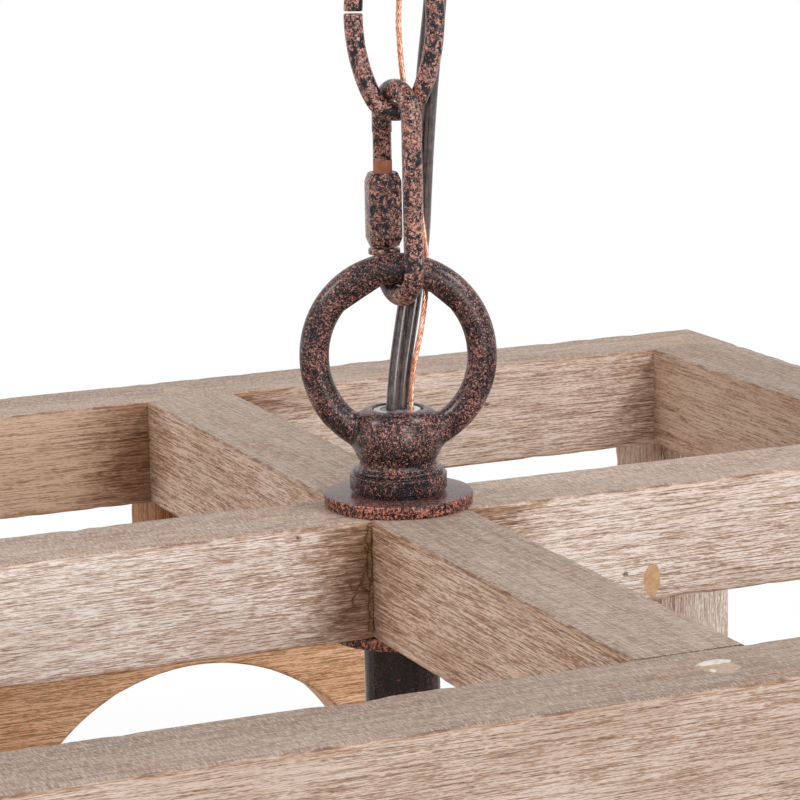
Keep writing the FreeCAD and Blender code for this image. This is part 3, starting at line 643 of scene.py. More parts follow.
def roughen(shape, wave, wear, seed):
    """Push vertices inwards by slow noise, and by more where the edge layer says so."""
    edge = shape.verts.layers.float["edge"]
    offset = Vector((seed * 17.3, seed * 5.1, seed * 9.7))
    shape.normal_update()
    moves = []
    for vert in shape.verts:
        place = vert.co / MM
        slow = noise.noise(place * 0.045 + offset) * 0.5 + 0.5
        nick = max(0.0, noise.noise(place * 0.23 + offset) - 0.12)
        moves.append(-vert.normal * (wave * slow + wear * vert[edge] * nick * 2.2))
    for vert, move in zip(shape.verts, moves):
        vert.co += move


def carry_grain(shape, grain, middle, shift):
    """Write the grain coordinates, in millimetres, with the board's length first."""
    layer = shape.verts.layers.float_vector["grain"]
    first = AXIS[grain]
    order = [first] + [i for i in range(3) if i != first]
    for vert in shape.verts:
        local = (vert.co - middle) / MM
        vert[layer] = Vector([local[i] for i in order]) + shift


def board(shape, low, high, grain, ends=(), seed=1, tone=1.0, bare_inside=0.0, bare_outside=0.0):
    """Add one board to shape. ends lists the end faces, -1 or 1, whose edges are rounded too. The
    last two say how bare of wash its faces towards the inside and the outside of the cage are."""
    part = bmesh.new()
    shade = part.verts.layers.float.new("tone")
    bare = part.verts.layers.float.new("bare")
    edge = part.verts.layers.float.new("edge")
    stain = part.verts.layers.float.new("stain")
    part.verts.layers.float_vector.new("grain")
    low, high = Vector(low), Vector(high)
    cube_between(part, low, high)
    axis = AXIS[grain]
    middle = (low + high) / 2
    for i in range(3):
        count = round((high[i] - low[i]) / board_strip) if i == axis else 6
        cut_strips(part, i, max(2, count))

    def on_long_edge(e):
        sides = [i for i in range(3) if i != axis
                 and all(abs(abs(v.co[i] - middle[i]) - (high - low)[i] / 2) < 1e-6 for v in e.verts)]
        end = [s for s in ends if all(abs(v.co[axis] - (high if s > 0 else low)[axis]) < 1e-6 for v in e.verts)]
        return len(sides) == 2 or (len(sides) == 1 and end)

    corners = [e for e in part.edges if on_long_edge(e)]
    bmesh.ops.bevel(part, geom=corners, offset=edge_round, segments=3, profile=0.5,
                    affect="EDGES", material=-1)
    others = [i for i in range(3) if i != axis]
    for vert in part.verts:
        near = sorted(min(vert.co[i] - low[i], high[i] - vert.co[i]) for i in others)
        vert[edge] = max(0.0, 1.0 - near[1] / (2.6 * MM)) if near[0] < edge_round * 1.1 else 0.0
        vert[stain] = joint_stain_and_shade(vert.co)
        vert[shade] = tone
        inside = axis < 2 and abs(vert.co[1 - axis]) < inner_half + edge_round
        vert[bare] = bare_inside * paler_back(vert.co) if inside else bare_outside
    carry_grain(part, grain, middle, Vector((grain_shift.uniform(0, 900), grain_shift.uniform(0, 90),
                                             grain_shift.uniform(0, 90))))
    roughen(part, face_wave, edge_wear, seed)
    mesh = bpy.data.meshes.new("board")
    part.to_mesh(mesh)
    part.free()
    shape.from_mesh(mesh)
    bpy.data.meshes.remove(mesh)


# %% [markdown]
# The outer rails come as in the frame: front and back run through to the corners, left and right
# fit between them, above and below, and posts stand in the corners. Where a board ends against
# another one it reaches a hair into it, which closes the glue line.

# %% Outer rails and posts
glue_reach = 0.3 * MM
BOARD_TONES = {"top_rail_front": 0.83, "top_rail_back": 0.95, "top_rail_right": 0.84}
board_number = 0
for level in ("top", "bottom"):
    for side, grain in (("front", "x"), ("right", "y"), ("back", "x"), ("left", "y")):
        node = level + "_rail_" + side
        low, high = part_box(node)
        ends = (-1, 1) if grain == "x" else ()
        if grain == "y":
            low.y -= glue_reach
            high.y += glue_reach
        board_number += 1
        shape = bmesh.new()
        board(shape, low, high, grain, ends, board_number, BOARD_TONES.get(node, 1.0), 1.0,
              0.5 if node == "top_rail_front" else 0.0)
        finished(node + "_board", shape, WOOD, "lantern", (node,), 50)

for corner in ("front_left", "front_right", "back_left", "back_right"):
    node = "corner_post_" + corner
    low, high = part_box(node)
    low.z -= glue_reach
    high.z += glue_reach
    board_number += 1
    shape = bmesh.new()
    board(shape, low, high, "z", (), board_number)
    finished(node + "_board", shape, WOOD, "lantern", (node,), 50)
print(board_number, "boards so far")

# %% [markdown]
# The cross is half-lapped under the washers, where nobody sees it. So its front-back rail is one
# board, and the left-right rail is two arms that meet it on both sides.

# %% Cross rails
arm_start = rail_width / 2 - glue_reach
low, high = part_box("cross_rail_front_back")
low.y -= glue_reach
high.y += glue_reach
shape = bmesh.new()
board(shape, low, high, "y", (), 21, 0.91)
finished("cross_rail_front_back_board", shape, WOOD, "lantern", ("cross_rail_front_back",), 50)

low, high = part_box("cross_rail_left_right")
shape = bmesh.new()
board(shape, (low.x - glue_reach, low.y, low.z), (-arm_start, high.y, high.z), "x", (), 22)
board(shape, (arm_start, low.y, low.z), (high.x + glue_reach, high.y, high.z), "x", (), 23, 1.08)
finished("cross_rail_left_right_arms", shape, WOOD, "lantern", ("cross_rail_left_right",), 50)

# %% [markdown]
# A side ring is a flat band of wood, so its section is a rectangle that is spun once round the
# ring's middle. Its four spokes are short boards whose inner ends are pressed against the ring by
# moving their end vertices onto its rim.

# %% Side rings and spokes
ring_low, ring_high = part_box("side_ring_front")
ring_middle_z = (ring_low.z + ring_high.z) / 2
ring_outer_r = (ring_high.z - ring_low.z) / 2
ring_hole_r = ring_outer_r - rail_width
ring_thick = ring_high.y - ring_low.y
ring_depth = (ring_low.y + ring_high.y) / 2
ring_steps = 144
spoke_low, spoke_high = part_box("side_spokes_front")
spoke_half = 9.5 * MM
SIDES = (("front", 0), ("right", 90), ("back", 180), ("left", 270))


def ring_band(seed):
    """The front ring, its section spun about the Y axis through its middle."""
    part = bmesh.new()
    edge = part.verts.layers.float.new("edge")
    layer = part.verts.layers.float_vector.new("grain")
    shade = part.verts.layers.float.new("tone")
    near, far = ring_depth - ring_thick / 2, ring_depth + ring_thick / 2
    cube_between(part, (0, near, ring_hole_r), (0.1 * MM, far, ring_outer_r))
    section_face = [f for f in part.faces if f.normal.x < -0.9]
    bmesh.ops.delete(part, geom=[f for f in part.faces if f not in section_face], context="FACES")
    for i in (1, 2):
        cut_strips(part, i, 5)
    outer = [v for v in part.verts if v.is_boundary]
    corners = [v for v in outer if abs(abs(v.co.y - ring_depth) - ring_thick / 2) < 1e-6
               and min(abs(v.co.z - ring_hole_r), abs(v.co.z - ring_outer_r)) < 1e-6]
    bmesh.ops.bevel(part, geom=corners, offset=edge_round, segments=3, profile=0.5,
                    affect="VERTICES", material=-1)
    rim = [e for e in part.edges if e.is_boundary]
    bmesh.ops.delete(part, geom=list(part.faces), context="FACES_ONLY")
    loose = [e for e in part.edges if e not in rim]
    bmesh.ops.delete(part, geom=loose, context="EDGES")
    bmesh.ops.spin(part, geom=part.verts[:] + part.edges[:], cent=(0, 0, 0), axis=(0, 1, 0),
                   dvec=(0, 0, 0), angle=2 * math.pi, steps=ring_steps, use_merge=True)
    bmesh.ops.remove_doubles(part, verts=part.verts, dist=1e-6)
    bmesh.ops.recalc_face_normals(part, faces=part.faces)
    shift = Vector((grain_shift.uniform(0, 900), grain_shift.uniform(0, 90), grain_shift.uniform(0, 90)))
    for vert in part.verts:
        radius = math.hypot(vert.co.x, vert.co.z)
        to_face = ring_thick / 2 - abs(vert.co.y - ring_depth)
        to_rim = min(radius - ring_hole_r, ring_outer_r - radius)
        near_edge = max(to_face, to_rim)
        vert[edge] = max(0.0, 1.0 - near_edge / (2.6 * MM)) if min(to_face, to_rim) < edge_round * 1.1 else 0.0
        vert[layer] = Vector((vert.co.x, vert.co.z, vert.co.y)) / MM + shift
        vert[shade] = 1.0
    for vert in part.verts:
        vert.co.z += ring_middle_z
    roughen(part, face_wave, edge_wear * 0.5, seed)
    return part


def spokes(seed):
    """The front ring's spokes: up, down, left and right."""
    part = bmesh.new()
    near, far = spoke_low.y, spoke_high.y
    start = ring_outer_r - 4 * MM
    boards = [((-spoke_half, near, ring_middle_z + start), (spoke_half, far, rail_bottom + glue_reach), "z"),
              ((-spoke_half, near, spoke_low.z - glue_reach), (spoke_half, far, ring_middle_z - start), "z"),
              ((-inner_half - glue_reach, near, ring_middle_z - spoke_half),
               (-start, far, ring_middle_z + spoke_half), "x"),
              ((start, near, ring_middle_z - spoke_half),
               (inner_half + glue_reach, far, ring_middle_z + spoke_half), "x")]
    for i, (low, high, grain) in enumerate(boards):
        board(part, low, high, grain, (), seed + i)
    for vert in part.verts:
        x, z = vert.co.x, vert.co.z - ring_middle_z
        if math.hypot(x, z) < ring_outer_r:
            if abs(x) < abs(z):
                vert.co.z = ring_middle_z + math.copysign(math.sqrt(ring_outer_r ** 2 - x * x), z)
            else:
                vert.co.x = math.copysign(math.sqrt(ring_outer_r ** 2 - z * z), x)
    return part


for number, (side, turn) in enumerate(SIDES):
    turning = Matrix.Rotation(math.radians(turn), 4, "Z")
    for part, name, node in ((ring_band(31 + number), "side_ring_" + side + "_band", "side_ring_" + side),
                             (spokes(41 + 5 * number), "side_spokes_" + side + "_boards", "side_spokes_" + side)):
        bmesh.ops.transform(part, matrix=turning, verts=part.verts)
        finished(name, part, RING_WOOD, "lantern", (node,), 50)
print("four rings of", ring_steps, "steps")

# %% [markdown]
# The metal is dark bronze paint with flakes of rust brown sprayed over it. Two noises at different
# scales make worm-like flakes, and a slow noise thins and thickens them. The chain got more rust
# and larger dark blotches than the castings, so the amounts are arguments.


# %% Speckled metal
def rust_finish(name, cover, flake_scale, dark, rust, top_sheen_tone=None, blotch=0.0, shine=0.25):
    f = Finish(name, Specular_IOR_Level=0.30)
    place = f.place()
    slow = f.noise(place, 0.16, 2.0)
    coarse = f.noise(place, flake_scale, 4.0, 0.74, 1.1)
    small = f.noise(f.stretch(place, (1, 1, 1), (40, 13, 27)), flake_scale * 2.3, 3.0, 0.7, 0.8)
    amount = f.math("ADD", f.math("MULTIPLY", coarse, 0.58), f.math("MULTIPLY", small, 0.42))
    amount = f.math("ADD", amount, f.math("MULTIPLY", f.math("SUBTRACT", slow, 0.5), 0.12))
    if blotch:
        holes = f.noise(f.stretch(place, (1, 1, 1), (9, 50, 3)), 0.42, 3.0, 0.6, 0.5)
        amount = f.math("SUBTRACT", amount, f.step(holes, 0.52, 0.62, 0.0, blotch))
    flakes = f.step(amount, cover, cover + 0.035)
    tint = f.noise(place, 1.7, 3.0, 0.6)
    rusty = f.mix(f.step(tint, 0.36, 0.62), tuple(c * 0.70 for c in rust), tuple(min(1.0, c * 1.38) for c in rust))
    deep = f.mix(f.step(tint, 0.4, 0.7), dark, tuple(c * 1.7 for c in dark))
    # Painted reflection: faces that look up get a paler, greyish tone that stands in for the sheen of light on the
    # washer's top.
    if top_sheen_tone:
        top = f.step(f.facing(), 0.6, 0.95)
        deep = f.mix(top, deep, top_sheen_tone)
        rusty = f.mix(f.math("MULTIPLY", top, 0.50), rusty, tuple(c * 1.6 for c in top_sheen_tone))
    colour = f.mix(flakes, deep, rusty)
    relief = f.bump(amount, 0.00003, 0.5)
    pits = f.noise(place, 3.2, 3.0, 0.6)
    relief = f.bump(pits, 0.00002, 0.4, relief)
    return f.wear(Base_Color=colour, Roughness=f.step(amount, cover - 0.05, cover + 0.05, shine, shine + 0.12),
                  Normal=relief)


CAST_DARK, CAST_RUST = (0.075, 0.068, 0.092), (0.60, 0.425, 0.385)
CASTING = rust_finish("rusted_iron", 0.520, 1.8, CAST_DARK, CAST_RUST)
# The washer's last colour is the painted sheen on its top.
WASHER = rust_finish("rusted_washer", 0.492, 1.7, CAST_DARK, (0.62, 0.40, 0.335), (0.185, 0.155, 0.17))
CHAIN = rust_finish("rusted_chain", 0.480, 1.35, (0.095, 0.090, 0.115), (0.64, 0.465, 0.415), blotch=0.10, shine=0.22)
SHEET_METAL = rust_finish("rusted_sheet", 0.565, 1.4, (0.075, 0.05, 0.045), (0.42, 0.255, 0.19))

# %% [markdown]
# Bare steel and brass are metals with fine turning marks, and the plastics inside the lantern are
# plain but not flat: a candle sleeve is a little waxy and uneven in tone.


# %% Plain metals, plastics and glass
def drawn_metal(name, colour, dull, roughness):
    f = Finish(name, Metallic=1.0)
    place = f.place()
    marks = f.noise(f.stretch(place, (0.6, 0.6, 7)), 1.0, 3.0, 0.6)
    stain = f.noise(place, 0.35, 3.0, 0.6)
    tone = f.mix(f.step(stain, 0.4, 0.75), colour, dull)
    return f.wear(Base_Color=tone, Roughness=f.step(stain, 0.3, 0.7, roughness, roughness + 0.18),
                  Normal=f.bump(marks, 0.00005, 0.4))


def plastic(name, colour, shade, roughness, waxy=0.0):
    f = Finish(name, Subsurface_Weight=waxy, Subsurface_Scale=0.002)
    place = f.place()
    cloud = f.noise(f.stretch(place, (1, 1, 0.3)), 0.25, 3.0, 0.6)
    tone = f.mix(f.step(cloud, 0.35, 0.7), colour, shade)
    grainy = f.noise(place, 3.0, 2.0)
    return f.wear(Base_Color=tone, Roughness=f.step(cloud, 0.3, 0.7, roughness, roughness + 0.12),
                  Normal=f.bump(grainy, 0.00003, 0.3))


def dry_wood(name, light, dark):
    f = Finish(name, Specular_IOR_Level=0.3)
    place = f.place()
    streak = f.noise(f.stretch(place, (0.9, 0.9, 0.9)), 0.8, 4.0, 0.65)
    tone = f.mix(f.step(streak, 0.35, 0.7), light, dark)
    return f.wear(Base_Color=tone, Roughness=f.step(streak, 0.3, 0.7, 0.6, 0.78),
                  Normal=f.bump(streak, 0.00012, 0.5))


STEEL = drawn_metal("plain_steel", (0.78, 0.77, 0.76), (0.55, 0.53, 0.51), 0.22)
BRASS = drawn_metal("lamp_brass", (0.86, 0.72, 0.42), (0.62, 0.48, 0.26), 0.2)
GREEN_SCREW = plastic("green_screw", (0.10, 0.36, 0.16), (0.07, 0.26, 0.12), 0.3)
CANDLE = plastic("candle_plastic", (0.93, 0.89, 0.79), (0.87, 0.80, 0.66), 0.45, 0.15)
SOCKET = plastic("socket_plastic", (0.09, 0.085, 0.08), (0.05, 0.05, 0.05), 0.42)
FILLER = dry_wood("wood_filler", (0.77, 0.68, 0.60), (0.68, 0.58, 0.50))
PUTTY = dry_wood("amber_putty", (0.83, 0.70, 0.55), (0.76, 0.60, 0.44))
PAINT_BLOB = dry_wood("white_filler", (0.87, 0.845, 0.82), (0.76, 0.72, 0.68))
BARE_THREAD = dry_wood("bare_thread", (0.70, 0.46, 0.34), (0.60, 0.37, 0.27))
DOWEL_WOOD = dry_wood("plain_wood", (0.80, 0.66, 0.48), (0.66, 0.50, 0.34))


def glass_finish():
    f = Finish("lamp_glass", Transmission_Weight=1.0, IOR=1.45, Base_Color=(0.98, 0.97, 0.95, 1.0))
    ripple = f.noise(f.stretch(f.place(), (0.08, 0.08, 0.03)), 1.0, 2.0)
    return f.wear(Roughness=f.step(ripple, 0.3, 0.7, 0.0, 0.03), Normal=f.bump(ripple, 0.0002, 0.15))


def filament_finish():
    f = Finish("lamp_filament", Metallic=1.0)
    glow = f.noise(f.place(), 2.0, 2.0)
    return f.wear(Base_Color=f.mix(glow, (0.45, 0.40, 0.36), (0.62, 0.55, 0.47)),
                  Roughness=f.step(glow, 0.3, 0.7, 0.35, 0.5))


GLASS = glass_finish()
FILAMENT = filament_finish()

# %% [markdown]
# Turned and spun pieces come from one helper. It draws a profile of radius and height, bevels the
# profile's corners where a tool would have rounded them, and spins it once round a vertical axis.


# %% Spin a profile
def arc_points(start, through, end, steps):
    """Points on the circle through three (r, z) points, without the start."""
    (ax, ay), (bx, by), (cx, cy) = start, through, end
    d = 2 * (ax * (by - cy) + bx * (cy - ay) + cx * (ay - by))
    ux = ((ax * ax + ay * ay) * (by - cy) + (bx * bx + by * by) * (cy - ay) + (cx * cx + cy * cy) * (ay - by)) / d
    uy = ((ax * ax + ay * ay) * (cx - bx) + (bx * bx + by * by) * (ax - cx) + (cx * cx + cy * cy) * (bx - ax)) / d
    radius = math.hypot(ax - ux, ay - uy)
    angles = [math.atan2(y - uy, x - ux) for x, y in (start, through, end)]
    sweep_angle = (angles[2] - angles[0]) % (2 * math.pi)
    if (angles[1] - angles[0]) % (2 * math.pi) > sweep_angle:
        sweep_angle -= 2 * math.pi
    return [(ux + radius * math.cos(angles[0] + sweep_angle * i / steps),
             uy + radius * math.sin(angles[0] + sweep_angle * i / steps)) for i in range(1, steps + 1)]


def profile_points(profile):
    """A profile's (r, z) points. An entry of four numbers is an arc through r, z to r2, z2."""
    points = [profile[0]]
    for entry in profile[1:]:
        if len(entry) == 2:
            points.append(entry)
        else:
            points += arc_points(points[-1], entry[:2], entry[2:], 10)
    return points


def spun(shape, profile, middle=(0, 0, 0), steps=72, closed=True, round_by=0.0):
    """Spin a profile round the vertical through middle. A closed one has its last point joined to
    its first. round_by bevels its corners."""
    part = bmesh.new()
    middle = Vector(middle)
    verts = [part.verts.new((r, 0, z)) for r, z in profile_points(profile)]
    pairs = list(zip(verts, verts[1:])) + ([(verts[-1], verts[0])] if closed else [])
    for pair in pairs:
        part.edges.new(pair)
    if round_by:
        sharp = [v for v in part.verts if len(v.link_edges) == 2 and v.co.x > 1e-6
                 and (v.link_edges[0].other_vert(v).co - v.co).angle(
                     v.link_edges[1].other_vert(v).co - v.co) < math.radians(150)]
        bmesh.ops.bevel(part, geom=sharp, offset=round_by, segments=3, profile=0.5,
                        affect="VERTICES", material=-1)
    bmesh.ops.spin(part, geom=part.verts[:] + part.edges[:], cent=(0, 0, 0), axis=(0, 0, 1),
                   dvec=(0, 0, 0), angle=2 * math.pi, steps=steps, use_merge=True)
    bmesh.ops.remove_doubles(part, verts=part.verts, dist=1e-6)
    bmesh.ops.recalc_face_normals(part, faces=part.faces)
    bmesh.ops.translate(part, verts=part.verts, vec=middle)
    mesh = bpy.data.meshes.new("spun")
    part.to_mesh(mesh)
    part.free()
    shape.from_mesh(mesh)
    bpy.data.meshes.remove(mesh)


def millimetres(*profile):
    return [tuple(c * MM for c in entry) for entry in profile]


# %% [markdown]
# The cast loop is one casting: a turned hub that runs smoothly into a ring. Here a spun hub and a
# spun ring are joined by a voxel remesh, and smoothing melts the joint between them into a fillet,
# as sand casting does. The bore and mouth are part of the hub's profile, so they stay open. Two
# flats of flash stay inside the ring, and the ring leans a little, as the chain pulls it.

# %% Cast loops
loop_ring_r, loop_wire_r = 17.75 * MM, 3.2 * MM
loop_ring_shift, loop_ring_height, loop_lean = 0.05 * MM, 28.9 * MM, math.radians(0.85)
ring_stretch = (0.985, 1.0, 1.03)
joint_half = 6.0 * MM
waist_r, waist_height = 8.0, 6.35
FOOT = [(5.0, 0.25), (5.3, 0.0), (9.0, 0.0), (9.05, 0.7), (9.8, 0.75), (10.08, 0.85, 10.2, 1.15), (10.2, 3.7),
        (10.1, 4.05, 9.8, 4.15), (9.25, 4.2), (9.2, 4.35), (9.42, 4.85, 9.05, 5.3), (8.55, 5.45, 8.15, 5.85),
        (waist_r, waist_height), (8.05, 6.9), (5.0, 6.9)]
BULB = [(5.0, 3.0), (7.0, 3.0), (7.9, 5.2), (waist_r - 0.1, waist_height), (8.15, 6.95, 8.6, 7.7),
        (9.62, 11.4, 8.95, 14.6), (8.2, 16.6, 6.9, 17.6), (5.6, 17.8), (5.2, 17.5), (5.15, 16.6), (4.98, 16.4)]
FLATS = ((123.9, 14.2, 5.0), (50.0, 14.65, 3.2))


def flatten(part):
    """Leave a flat of flash inside the ring at each (direction, distance, half length)."""
    middle = Vector((loop_ring_shift, 0, loop_ring_height))
    for direction, distance, half_length in FLATS:
        out = Vector((math.cos(math.radians(direction)), 0, math.sin(math.radians(direction))))
        along = out.cross(Y_AXIS)
        for vert in part.verts:
            local = vert.co - middle
            depth = local.dot(out) - distance * MM
            inside = Vector((local.x, 0, local.z)).length < loop_ring_r - 1.2 * MM
            if inside and depth > 0 and abs(local.dot(along)) < half_length * MM and abs(local.y) < 2.2 * MM:
                share = 1.0 - (abs(local.y) / (2.2 * MM)) ** 4
                vert.co -= out * depth * share


# turns of smoothing, from height, to height, half width, in mm
MELTS = ((3, 6.2, 60.0, 30.0), (10, 17.9, 60.0, 30.0), (8, 6.8, 17.2, 30.0), (30, 7.4, 17.0, 15.0))


def casting(voxel):
    """The hub with its ring, standing on Z 0, in the loop's own frame."""
    part = bmesh.new()
    spun(part, millimetres(*BULB), steps=96)
    ring = bmesh.new()
    bmesh.ops.create_circle(ring, radius=loop_wire_r, segments=40,
                            matrix=Matrix.Translation((loop_ring_r, 0, 0)))
    bmesh.ops.spin(ring, geom=ring.verts[:] + ring.edges[:], cent=(0, 0, 0), axis=(0, 1, 0),
                   dvec=(0, 0, 0), angle=2 * math.pi, steps=128, use_merge=True)
    bmesh.ops.remove_doubles(ring, verts=ring.verts, dist=1e-6)
    bmesh.ops.recalc_face_normals(ring, faces=ring.faces)
    low = [v for v in ring.verts if v.co.z < 0 and abs(v.co.x) < joint_half]
    bmesh.ops.delete(ring, geom=low, context="VERTS")
    bmesh.ops.scale(ring, verts=ring.verts, vec=ring_stretch)
    bmesh.ops.translate(ring, verts=ring.verts, vec=(loop_ring_shift, 0, loop_ring_height))
    holes = [e for e in ring.edges if e.is_boundary]
    bmesh.ops.holes_fill(ring, edges=holes, sides=0)
    mesh = bpy.data.meshes.new("ring")
    ring.to_mesh(mesh)
    ring.free()
    part.from_mesh(mesh)
    bpy.data.meshes.remove(mesh)
    mesh = bpy.data.meshes.new("casting")
    part.to_mesh(mesh)
    part.free()
    rough = bpy.data.objects.new("casting", mesh)
    scene.collection.objects.link(rough)
    remesh = rough.modifiers.new("fuse", "REMESH")
    remesh.mode = "VOXEL"
    remesh.voxel_size = voxel
    made = bpy.data.meshes.new_from_object(rough.evaluated_get(bpy.context.evaluated_depsgraph_get()))
    part = bmesh.new()
    part.from_mesh(made)
    for turns, low_z, high_z, half_width in MELTS:
        chosen = [v for v in part.verts if low_z < v.co.z / MM < high_z and abs(v.co.x) / MM < half_width
                  and math.hypot(v.co.x, v.co.y) > 6.2 * MM]
        for _ in range(turns):
            bmesh.ops.smooth_vert(part, verts=chosen, factor=0.5, use_axis_x=True, use_axis_y=True, use_axis_z=True)
    flatten(part)
    above = [v for v in part.verts if v.co.z > loop_ring_height - 12 * MM]
    bmesh.ops.smooth_vert(part, verts=above, factor=0.5, use_axis_x=True, use_axis_y=True, use_axis_z=True)
    waist = waist_height * MM
    geom = part.verts[:] + part.edges[:] + part.faces[:]
    bmesh.ops.bisect_plane(part, geom=geom, plane_co=(0, 0, waist), plane_no=(0, 0, 1), clear_inner=True)
    for vert in part.verts:
        radius = math.hypot(vert.co.x, vert.co.y)
        near = 1.0 - (vert.co.z - waist) / (0.9 * MM)
        if near > 0 and radius > 6.5 * MM:
            vert.co.xy *= 1.0 + near * (waist_r * MM / radius - 1.0)
    bmesh.ops.holes_fill(part, edges=[e for e in part.edges if e.is_boundary], sides=0)
    spun(part, millimetres(*FOOT), steps=128)
    lean = Matrix.Rotation(loop_lean, 3, "Y")
    for vert in part.verts:
        upper = min(1.0, max(0.0, (vert.co.z / MM - 8.0) / 14.0))
        vert.co = vert.co.lerp(lean @ vert.co, upper)
    bpy.data.objects.remove(rough)
    for old in (mesh, made):
        bpy.data.meshes.remove(old)
    return part


casting_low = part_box("cast_loop")[0].z
hung_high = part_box("canopy_loop")[1].z
collar_middle, collar_reach = Vector((chain_offset - 3.05 * MM, 5.9 * MM)), 3.55 * MM
collar_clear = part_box("quick_link_nut")[0].z - 1.85 * MM - casting_low


def rub_collar(part):
    """The top of the loop is rubbed down where the quick link's collar comes near it as it swings."""
    pivot = Vector((chain_offset, 0, joint_z[frozenset(("quick_link", "lantern"))] - casting_low))
    near = [v for v in part.verts if v.co.z > loop_ring_height + 12 * MM and v.co.y > 0]
    for swing in range(-16, 17, 2):
        turn = Matrix.Rotation(math.radians(swing), 3, "Y")
        for vert in near:
            swung = pivot + turn @ (vert.co - pivot)
            if swung.z > collar_clear and (swung.xy - collar_middle).length < collar_reach:
                swung.z = collar_clear
                vert.co = pivot + turn.transposed() @ (swung - pivot)


for name, place in (("cast_loop", Matrix.Translation((0, 0, casting_low)) @ TURNED),
                    ("canopy_loop", Matrix.Translation((0, 0, hung_high)) @ TURNED
                     @ Matrix.Rotation(math.pi, 4, "X"))):
    part = casting(0.30 * MM)
    if name == "cast_loop":
        rub_collar(part)
    bmesh.ops.transform(part, matrix=place, verts=part.verts)
    print(name, len(part.verts), "vertices")
    body = "lantern" if name == "cast_loop" else "canopy"
    finished(name + "_casting", part, CASTING, body, (name,), 60)

# %% [markdown]
# Washers are punched from sheet: their rims are slightly rounded on one side.

# %% Washers
washer_r, washer_bore_r, washer_thick = 15.6 * MM, 5.0 * MM, 2.7 * MM


def washer(shape, low):
    spun(shape, [(washer_bore_r, low), (washer_r, low), (washer_r, low + washer_thick),
                 (washer_bore_r, low + washer_thick)], steps=96, round_by=0.35 * MM)


cross_low, cross_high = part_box("cross_washers")
shape = bmesh.new()
washer(shape, cross_low.z)
washer(shape, cross_high.z - washer_thick)
finished("cross_washers_punched", shape, WASHER, "lantern", ("cross_washers",))
shape = bmesh.new()
washer(shape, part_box("canopy_washer")[0].z)
finished("canopy_washer_punched", shape, WASHER, "canopy", ("canopy_washer",))

# %% [markdown]
# A chain link is bent from round wire, so its section is a circle that is spun from one arc into
# the next: wide arcs for the sides and tight ones for the ends. It starts and stops at the butt
# joint half way up the left side.

# %% Chain links
wire_r = 1.97 * MM
link_half_width, link_half_length, link_end_r = 10.35 * MM - wire_r, 21.6 * MM - wire_r, 5.3 * MM
link_end_rise = link_half_length - link_end_r
link_side_r = ((link_half_width ** 2 + link_end_rise ** 2 - link_end_r ** 2)
               / (2 * (link_half_width - link_end_r)))
link_side_shift = link_side_r - link_half_width
link_butt, link_butt_rise = 0.24 * MM / link_side_r, 0.8 * MM / link_side_r


def spin_on(shape, ends, middle, angle, steps):
    """Carry an open ring of vertices and edges round a middle, about the Y axis."""
    geom = bmesh.ops.spin(shape, geom=ends, cent=middle, axis=(0, 1, 0), dvec=(0, 0, 0),
                          angle=angle, steps=steps)["geom_last"]
    return [g for g in geom if not isinstance(g, bmesh.types.BMFace)]


def chain_link(middle_z, turn):
    """An oval link round the middle, in the XZ plane before it is turned."""
    part = bmesh.new()
    slope = math.atan2(link_end_rise, link_side_shift)
    bmesh.ops.create_circle(part, radius=wire_r, segments=28, cap_ends=False,
                            matrix=Matrix.Translation((-link_half_width, 0, 0)))
    side = Vector((link_side_shift, 0, 0))
    bmesh.ops.rotate(part, verts=part.verts, cent=side, matrix=Matrix.Rotation(link_butt + link_butt_rise, 3, "Y"))
    ends = part.verts[:] + part.edges[:]
    bmesh.ops.holes_fill(part, edges=part.edges[:], sides=0)
    first_cap = list(part.faces)
    half_end = math.pi / 2 - slope
    ends = spin_on(part, ends, side, slope - link_butt - link_butt_rise, 20)
    ends = spin_on(part, ends, (0, 0, link_end_rise), 2 * half_end, 24)
    ends = spin_on(part, ends, -side, 2 * slope, 40)
    ends = spin_on(part, ends, (0, 0, -link_end_rise), 2 * half_end, 24)
    ends = spin_on(part, ends, side, slope - link_butt + link_butt_rise, 20)
    bmesh.ops.holes_fill(part, edges=[g for g in ends if isinstance(g, bmesh.types.BMEdge)], sides=0)
    cap_edges = [e for e in part.edges if e.calc_face_angle(0) > math.radians(60)]
    bmesh.ops.bevel(part, geom=cap_edges, offset=0.3 * MM, segments=2, profile=0.5,
                    affect="EDGES", material=-1)
    bmesh.ops.recalc_face_normals(part, faces=part.faces)
    place = Matrix.Translation((0, 0, middle_z)) @ HUNG @ Matrix.Rotation(math.radians(turn), 4, "Z")
    bmesh.ops.transform(part, matrix=place, verts=part.verts)
    return part


def dent(shape, depth, scale, seed):
    """Small uneven dents all over a piece."""
    shape.normal_update()
    offset = Vector((seed, seed * 3.1, seed * 7.7))
    moves = [-v.normal * depth * max(0.0, noise.noise(v.co / MM * scale + offset)) for v in shape.verts]
    for vert, move in zip(shape.verts, moves):
        vert.co += move


for name, body, turn in (("chain_link_upper", "upper_link", 90), ("chain_link_lower", "lower_link", 0)):
    low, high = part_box(name)
    part = chain_link((low.z + high.z) / 2, turn)
    dent(part, 0.10 * MM, 0.35, 3)
    finished(name + "_bent", part, CHAIN, body, (name,), 50)
    print(name, "middle", round((low.z + high.z) / 2, 4))

# %% [markdown]
# The quick link is a rod bent into a long loop, with a gap that a sleeve nut closes. The rod is
# again a circle, extruded straight and spun round the bends. The nut is a six-sided bar with
# chamfered ends.

